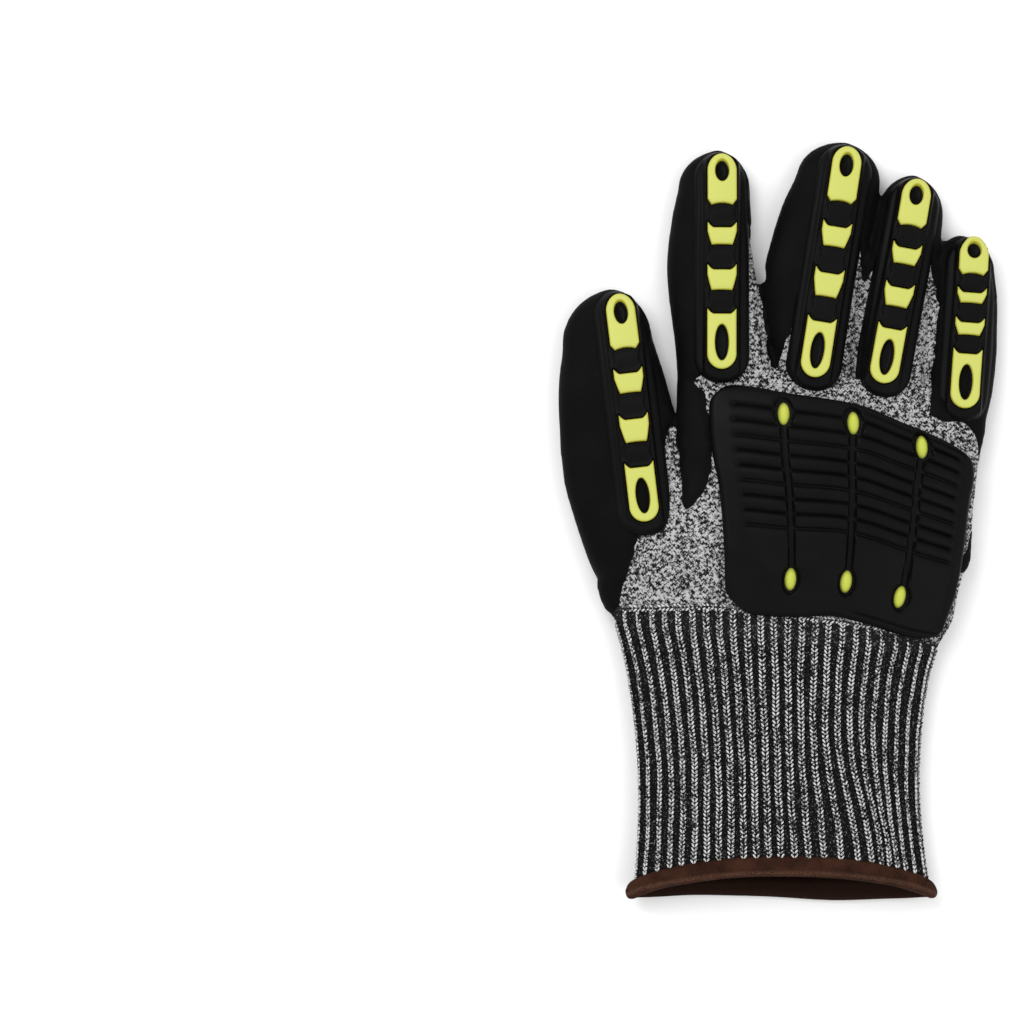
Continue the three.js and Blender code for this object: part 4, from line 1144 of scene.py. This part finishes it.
def stitch_tree():
    """Geometry Nodes: V stitches set along each rib, turned to the cuff's surface."""
    tree = bpy.data.node_groups.new("rib stitches", "GeometryNodeTree")
    face = tree.interface
    face.new_socket("Ribs", in_out="INPUT", socket_type="NodeSocketGeometry")
    for name in ("Pitch", "Leg width", "Leg length", "Leg height", "Spread", "Lean"):
        face.new_socket(name, in_out="INPUT", socket_type="NodeSocketFloat")
    face.new_socket("Yarn", in_out="INPUT", socket_type="NodeSocketMaterial")
    face.new_socket("Stitches", in_out="OUTPUT", socket_type="NodeSocketGeometry")
    nodes, links = tree.nodes, tree.links

    def node(kind, settings=None, **inputs):
        made = nodes.new(kind)
        for key, value in (settings or {}).items():
            setattr(made, key, value)
        for key, value in inputs.items():
            socket = made.inputs[int(key[1:])] if key[0] == "i" and key[1:].isdigit() else made.inputs[key]
            if isinstance(value, bpy.types.NodeSocket):
                links.new(value, socket)
            else:
                socket.default_value = value
        return made

    given = nodes.new("NodeGroupInput").outputs
    curve = node("GeometryNodeMeshToCurve", Mesh=given["Ribs"])
    spaced = node("GeometryNodeResampleCurve", {"mode": "LENGTH"}, Curve=curve.outputs[0],
                  Length=given["Pitch"])
    size = node("ShaderNodeCombineXYZ", X=given["Leg width"], Y=given["Leg length"], Z=given["Leg height"])
    legs = []
    for side in (1, -1):
        ball = node("GeometryNodeMeshIcoSphere", Radius=0.5, Subdivisions=1)
        lean = node("ShaderNodeMath", {"operation": "MULTIPLY"}, i0=given["Lean"], i1=float(side))
        shift = node("ShaderNodeMath", {"operation": "MULTIPLY"}, i0=given["Spread"], i1=float(side))
        turn = node("ShaderNodeCombineXYZ", Z=lean.outputs[0])
        move = node("ShaderNodeCombineXYZ", X=shift.outputs[0])
        scaled = node("GeometryNodeTransform", Geometry=ball.outputs[0], Scale=size.outputs[0])
        legs.append(node("GeometryNodeTransform", Geometry=scaled.outputs[0], Rotation=turn.outputs[0],
                         Translation=move.outputs[0]))
    vee = nodes.new("GeometryNodeJoinGeometry")
    for leg in legs:
        links.new(leg.outputs[0], vee.inputs[0])
    out = node("GeometryNodeInputNamedAttribute", {"data_type": "FLOAT_VECTOR"}, Name="outwards")
    tangent = nodes.new("GeometryNodeInputTangent")
    upright = node("FunctionNodeAlignRotationToVector", {"axis": "Z"}, Vector=out.outputs[0])
    turned = node("FunctionNodeAlignRotationToVector", {"axis": "Y", "pivot_axis": "Z"},
                  Rotation=upright.outputs[0], Vector=tangent.outputs[0])
    set_on = node("GeometryNodeInstanceOnPoints", Points=spaced.outputs[0], Instance=vee.outputs[0],
                  Rotation=turned.outputs[0])
    real = node("GeometryNodeRealizeInstances", Geometry=set_on.outputs[0])
    smooth_shade = node("GeometryNodeSetShadeSmooth", Geometry=real.outputs[0])
    finish = node("GeometryNodeSetMaterial", Geometry=smooth_shade.outputs[0], Material=given["Yarn"])
    result = nodes.new("NodeGroupOutput")
    links.new(finish.outputs[0], result.inputs[0])
    return tree


def grow_nodes(name, points, edges, outwards, tree, inputs):
    """A plain mesh that a node tree makes from lines with outward directions."""
    mesh = bpy.data.meshes.new(name)
    mesh.from_pydata(((points + SHIFT) / 1000).tolist(), edges, [])
    attribute = mesh.attributes.new("outwards", "FLOAT_VECTOR", "POINT")
    attribute.data.foreach_set("vector", np.asarray(outwards, np.float32).ravel())
    piece = new_object(name, mesh)
    modifier = piece.modifiers.new("nodes", "NODES")
    modifier.node_group = tree
    identifiers = {item.name: item.identifier for item in tree.interface.items_tree if item.in_out == "INPUT"}
    for key, value in inputs.items():
        modifier[identifiers[key]] = value
    made = evaluated_mesh(piece)
    piece.modifiers.remove(modifier)
    piece.data = made
    bpy.data.meshes.remove(mesh)
    return piece


def make_cuff_stitches(sizes, colours):
    """V stitches along each rib, which run on above the wrist, and one row across their upper ends."""
    points, edges, outwards = [], [], []

    def add_line(line, out):
        start = sum(len(p) for p in points)
        points.append(line)
        outwards.append(out)
        edges.extend((start + k, start + k + 1) for k in range(len(line) - 1))

    downs = np.linspace(0, 0.998, 70)
    for rib in range(sizes.ribs):
        share = np.full(len(downs), (rib + RIB_PHASE) / sizes.ribs)
        wander = 0.0006 * np.sin(downs * 19 + rib * 1.7)
        turn = even_angles(share + wander + cuff_fold(share, downs))
        line, higher = (cuff_relief(cuff_points(downs, turn, grow)) for grow in (-0.1, 0.9))
        out = higher - line
        x, y, z = line[0]
        if z > centre_height(HAND_HALF_HEIGHT) and rib_rise(x) > 0.6:
            rise = np.linspace(rib_rise(x) - 0.7, 0.5, 14)
            spread = x + 0.05 * rise * x / 50
            above = np.column_stack([spread, y + rise, hand_top(spread, y + rise) + 0.25])
            line = np.concatenate([above, line])
            out = np.concatenate([np.tile(out[0], (len(above), 1)), out])
        add_line(line, out)
    x = np.linspace(-52, 50, 90)
    y = wrist_size()["y"] - WRIST_SLOPE * x + rib_rise(x) + 0.3
    add_line(np.column_stack([x, y, hand_top(x, y) + 0.2]), np.tile([0.0, 0.0, 1.0], (len(x), 1)))
    inputs = {
        "Pitch": sizes.stitch_pitch, "Leg width": LEG_WIDTH / 1000, "Leg length": LEG_LENGTH / 1000,
        "Leg height": LEG_HEIGHT / 1000, "Spread": sizes.stitch_spread, "Lean": math.radians(LEG_LEAN),
        "Yarn": rib_finish(colours),
    }
    points, outwards = np.concatenate(points), np.concatenate(outwards)
    piece = grow_nodes("rib_cuff_stitches", points, edges, outwards, stitch_tree(), inputs)
    finish_piece(piece, ["rib_cuff"])


def make_hem(colours):
    """The bound hem, from the cuff's edge round its mouth and back inside."""
    around, threads = 1040, 260
    share = np.arange(around) / around
    turn = even_angles(share)
    section = np.linspace(0, 2 * math.pi, 22, endpoint=False)
    along = 0.5 - 0.5 * power(np.cos(section), 0.75)
    through = 0.5 - 0.5 * power(np.sin(section), 0.75) * np.where(along < 0.2, 0.6 + 2 * along, 1)
    rings = []
    for a, t in zip(along, through):
        thread = 0.09 * np.cos(2 * math.pi * (share * threads + a * 1.5))
        loose = 0.25 * waves(np.column_stack([np.cos(turn), np.sin(turn), np.full(around, a)]) * 50, 40, 4)
        out = (HEM_OUT - t * HEM_THICKNESS) + thread * (1 - 2 * t) + loose * 0.4
        line = cuff_points(1, turn, out, HEM_SPREAD * min(1, a * 2))
        line[:, 1] -= 0.1 + a * HEM_LENGTH - loose * a
        line[:, 1] -= 1.7 * hill(line[:, 0] - 20, 20) * step(6, 3, line[:, 2]) * a
        line[:, 2] = np.maximum(line[:, 2], REST_GAP)
        rings.append(line)
    points, tris = ring_tube(rings)
    seam = hill(along - 0.8, 0.07) * (through < 0.5)
    # inner marks the inner face for the finish's painted shade.
    marks = {"inner": np.repeat(step(0.45, 0.8, through), around), "seam": np.repeat(seam, around)}
    add_piece("hem_binding", points, tris, hem_finish(colours), ["cuff_hem"], 80, marks)


# Stage

CAMERA_X, CAMERA_Y, CAMERA_HEIGHT = -0.0918, 0.0026, 1.1
# The height of the glove's middle, where the picture is VIEW_SPAN wide
VIEW_HEIGHT, VIEW_SPAN = 0.008, 0.35328
SENSOR = 36
FLOOR_REACH = 3.0
SKY_STRENGTH = 0.85
# Rows of name, place, size in metres and watts
LIGHTS = [("key", (-0.6, 0.65, 1.2), 0.9, 12), ("fill", (0.9, -0.5, 1.3), 1.2, 7)]


def make_stage():
    """The floor, the sky, two area lights that look at the glove, and the camera above it."""
    scene = bpy.context.scene
    mesh = bpy.data.meshes.new("floor")
    corners = [(-1, -1), (1, -1), (1, 1), (-1, 1)]
    mesh.from_pydata([(x * FLOOR_REACH, y * FLOOR_REACH, 0) for x, y in corners], [], [(0, 1, 2, 3)])
    mesh.materials.append(floor_finish())
    new_object("floor", mesh)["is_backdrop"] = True
    world = bpy.data.worlds.new("studio")
    world.use_nodes = True
    sky = world.node_tree.nodes["Background"]
    sky.inputs["Color"].default_value = (1, 1, 1, 1)
    sky.inputs["Strength"].default_value = SKY_STRENGTH
    scene.world = world
    for name, place, size, watts in LIGHTS:
        light = bpy.data.lights.new(name, "AREA")
        light.size = size
        light.energy = watts
        lamp = new_object(name, light)
        lamp.location = place
        lamp.rotation_euler = (-Vector(place)).to_track_quat("-Z", "Y").to_euler()
    camera = bpy.data.cameras.new("camera")
    camera.sensor_width = camera.sensor_height = SENSOR
    camera.lens = SENSOR * (CAMERA_HEIGHT - VIEW_HEIGHT) / VIEW_SPAN
    scene.camera = new_object("camera", camera)
    scene.camera.location = (CAMERA_X, CAMERA_Y, CAMERA_HEIGHT)
    scene.view_settings.view_transform = "Standard"


# Add-on classes

def length(name, description, millimetres, low, high):
    """A length property, given in millimetres and held in metres."""
    return FloatProperty(
        name=name, description=description, unit="LENGTH", precision=5,
        default=millimetres / 1000, min=low / 1000, max=high / 1000,
    )


def colour(name, description, default):
    """A colour property in linear light."""
    return FloatVectorProperty(
        name=name, description=description, subtype="COLOR", size=3, default=default, min=0, max=1,
    )


class GloveSizes(PropertyGroup):
    """Sizes that a user may change."""

    coating: length("Coating", "Thickness over the knit", 1.2, 0.4, 2)
    voxel: length("Fineness", "Grain of the knit's surface", 1.25, 0.8, 3)
    ribs: IntProperty(name="Ribs", description="Ribs round the cuff", default=50, min=20, max=80)
    stitch_pitch: length("Stitch pitch", "Height of a rib stitch", 1.38, 0.8, 3)
    stitch_spread: length("Stitch spread", "Half gap of a stitch's legs", 0.66, 0.3, 1.2)


class GloveColours(PropertyGroup):
    """Colours that a user may change, in linear light."""

    yarn_light: colour("Light yarn", "Light strand of the marled knit", (0.6, 0.6, 0.6))
    yarn_dark: colour("Dark yarn", "Black strand of the marled knit", (0.008, 0.008, 0.008))
    ground: colour("Rib ground", "Black ground between the ribs", (0.006, 0.006, 0.006))
    coating: colour("Coating", "Dipped palm coating", (0.0022, 0.0022, 0.0022))
    guard: colour("Guards", "Moulded guards", (0.0022, 0.0022, 0.0022))
    bright: colour("Inserts", "Bright inserts", (0.48, 0.5, 0.115))
    # The painted shade on the inserts' bevels, the sides of their holes and their lower ends.
    bright_shaded: colour("Insert bevels", "Bevels of the inserts", (0.44, 0.42, 0.045))
    stud: colour("Studs", "Oval studs", (0.43, 0.48, 0.06))
    hem: colour("Hem", "Bound hem", (0.032, 0.0115, 0.006))
    seam: colour("Hem seam", "Seam stitches along the hem", (0.12, 0.06, 0.04))


class GLOVE_OT_liner(Operator):
    """Make the knitted liner"""

    bl_idname = "glove.liner"
    bl_label = "Knitted liner"

    def execute(self, context):
        make_liner(context.scene.glove_colours)
        return {"FINISHED"}


class GLOVE_OT_coating(Operator):
    """Make the dipped coating"""

    bl_idname = "glove.coating"
    bl_label = "Palm coating"

    def execute(self, context):
        make_coating(context.scene.glove_sizes, context.scene.glove_colours)
        return {"FINISHED"}


class GLOVE_OT_finger_guards(Operator):
    """Make the guards on the fingers and their bright inserts"""

    bl_idname = "glove.finger_guards"
    bl_label = "Finger guards"

    def execute(self, context):
        make_finger_guards(context.scene.glove_colours)
        make_inserts(context.scene.glove_colours)
        return {"FINISHED"}


class GLOVE_OT_hand_guard(Operator):
    """Make the grooved guard on the back of the hand and its studs"""

    bl_idname = "glove.hand_guard"
    bl_label = "Hand guard"

    def execute(self, context):
        make_hand_guard(context.scene.glove_colours)
        make_studs(context.scene.glove_colours)
        return {"FINISHED"}


class GLOVE_OT_cuff(Operator):
    """Make the ribbed cuff and its stitches"""

    bl_idname = "glove.cuff"
    bl_label = "Ribbed cuff"

    def execute(self, context):
        make_cuff_ground(context.scene.glove_sizes, context.scene.glove_colours)
        make_cuff_stitches(context.scene.glove_sizes, context.scene.glove_colours)
        return {"FINISHED"}


class GLOVE_OT_hem(Operator):
    """Make the bound hem"""

    bl_idname = "glove.hem"
    bl_label = "Hem"

    def execute(self, context):
        make_hem(context.scene.glove_colours)
        return {"FINISHED"}


class GLOVE_OT_stage(Operator):
    """Make the floor, the lights and the camera"""

    bl_idname = "glove.stage"
    bl_label = "Stage"

    def execute(self, context):
        make_stage()
        return {"FINISHED"}


OPERATORS = (GLOVE_OT_liner, GLOVE_OT_coating, GLOVE_OT_finger_guards, GLOVE_OT_hand_guard, GLOVE_OT_cuff,
             GLOVE_OT_hem, GLOVE_OT_stage)


class GLOVE_PT_panel(Panel):
    """Lists the glove's pieces and settings"""

    bl_label = "Work glove"
    bl_idname = "GLOVE_PT_panel"
    bl_space_type = "VIEW_3D"
    bl_region_type = "UI"
    bl_category = "Work glove"

    def draw(self, context):
        for group in (context.scene.glove_sizes, context.scene.glove_colours):
            for key in group.__annotations__:
                self.layout.prop(group, key)
        for operator in OPERATORS:
            self.layout.operator(operator.bl_idname)


CLASSES = (GloveSizes, GloveColours, *OPERATORS, GLOVE_PT_panel)


def register():
    for cls in CLASSES:
        bpy.utils.register_class(cls)
    bpy.types.Scene.glove_sizes = PointerProperty(type=GloveSizes)
    bpy.types.Scene.glove_colours = PointerProperty(type=GloveColours)


def unregister():
    del bpy.types.Scene.glove_sizes
    del bpy.types.Scene.glove_colours
    for cls in reversed(CLASSES):
        bpy.utils.unregister_class(cls)


def plain(box):
    """A box's corners as plain lists of numbers."""
    return [[float(value) for value in corner] for corner in box]


def main():
    """Makes every piece and the stage."""
    register()
    bpy.ops.glove.liner()
    bpy.ops.glove.coating()
    bpy.ops.glove.finger_guards()
    bpy.ops.glove.hand_guard()
    bpy.ops.glove.cuff()
    bpy.ops.glove.hem()
    bpy.ops.glove.stage()
    {"cad": plain(CAD_BOX), "visual": plain(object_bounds())}


if __name__ == "__main__":
    main()
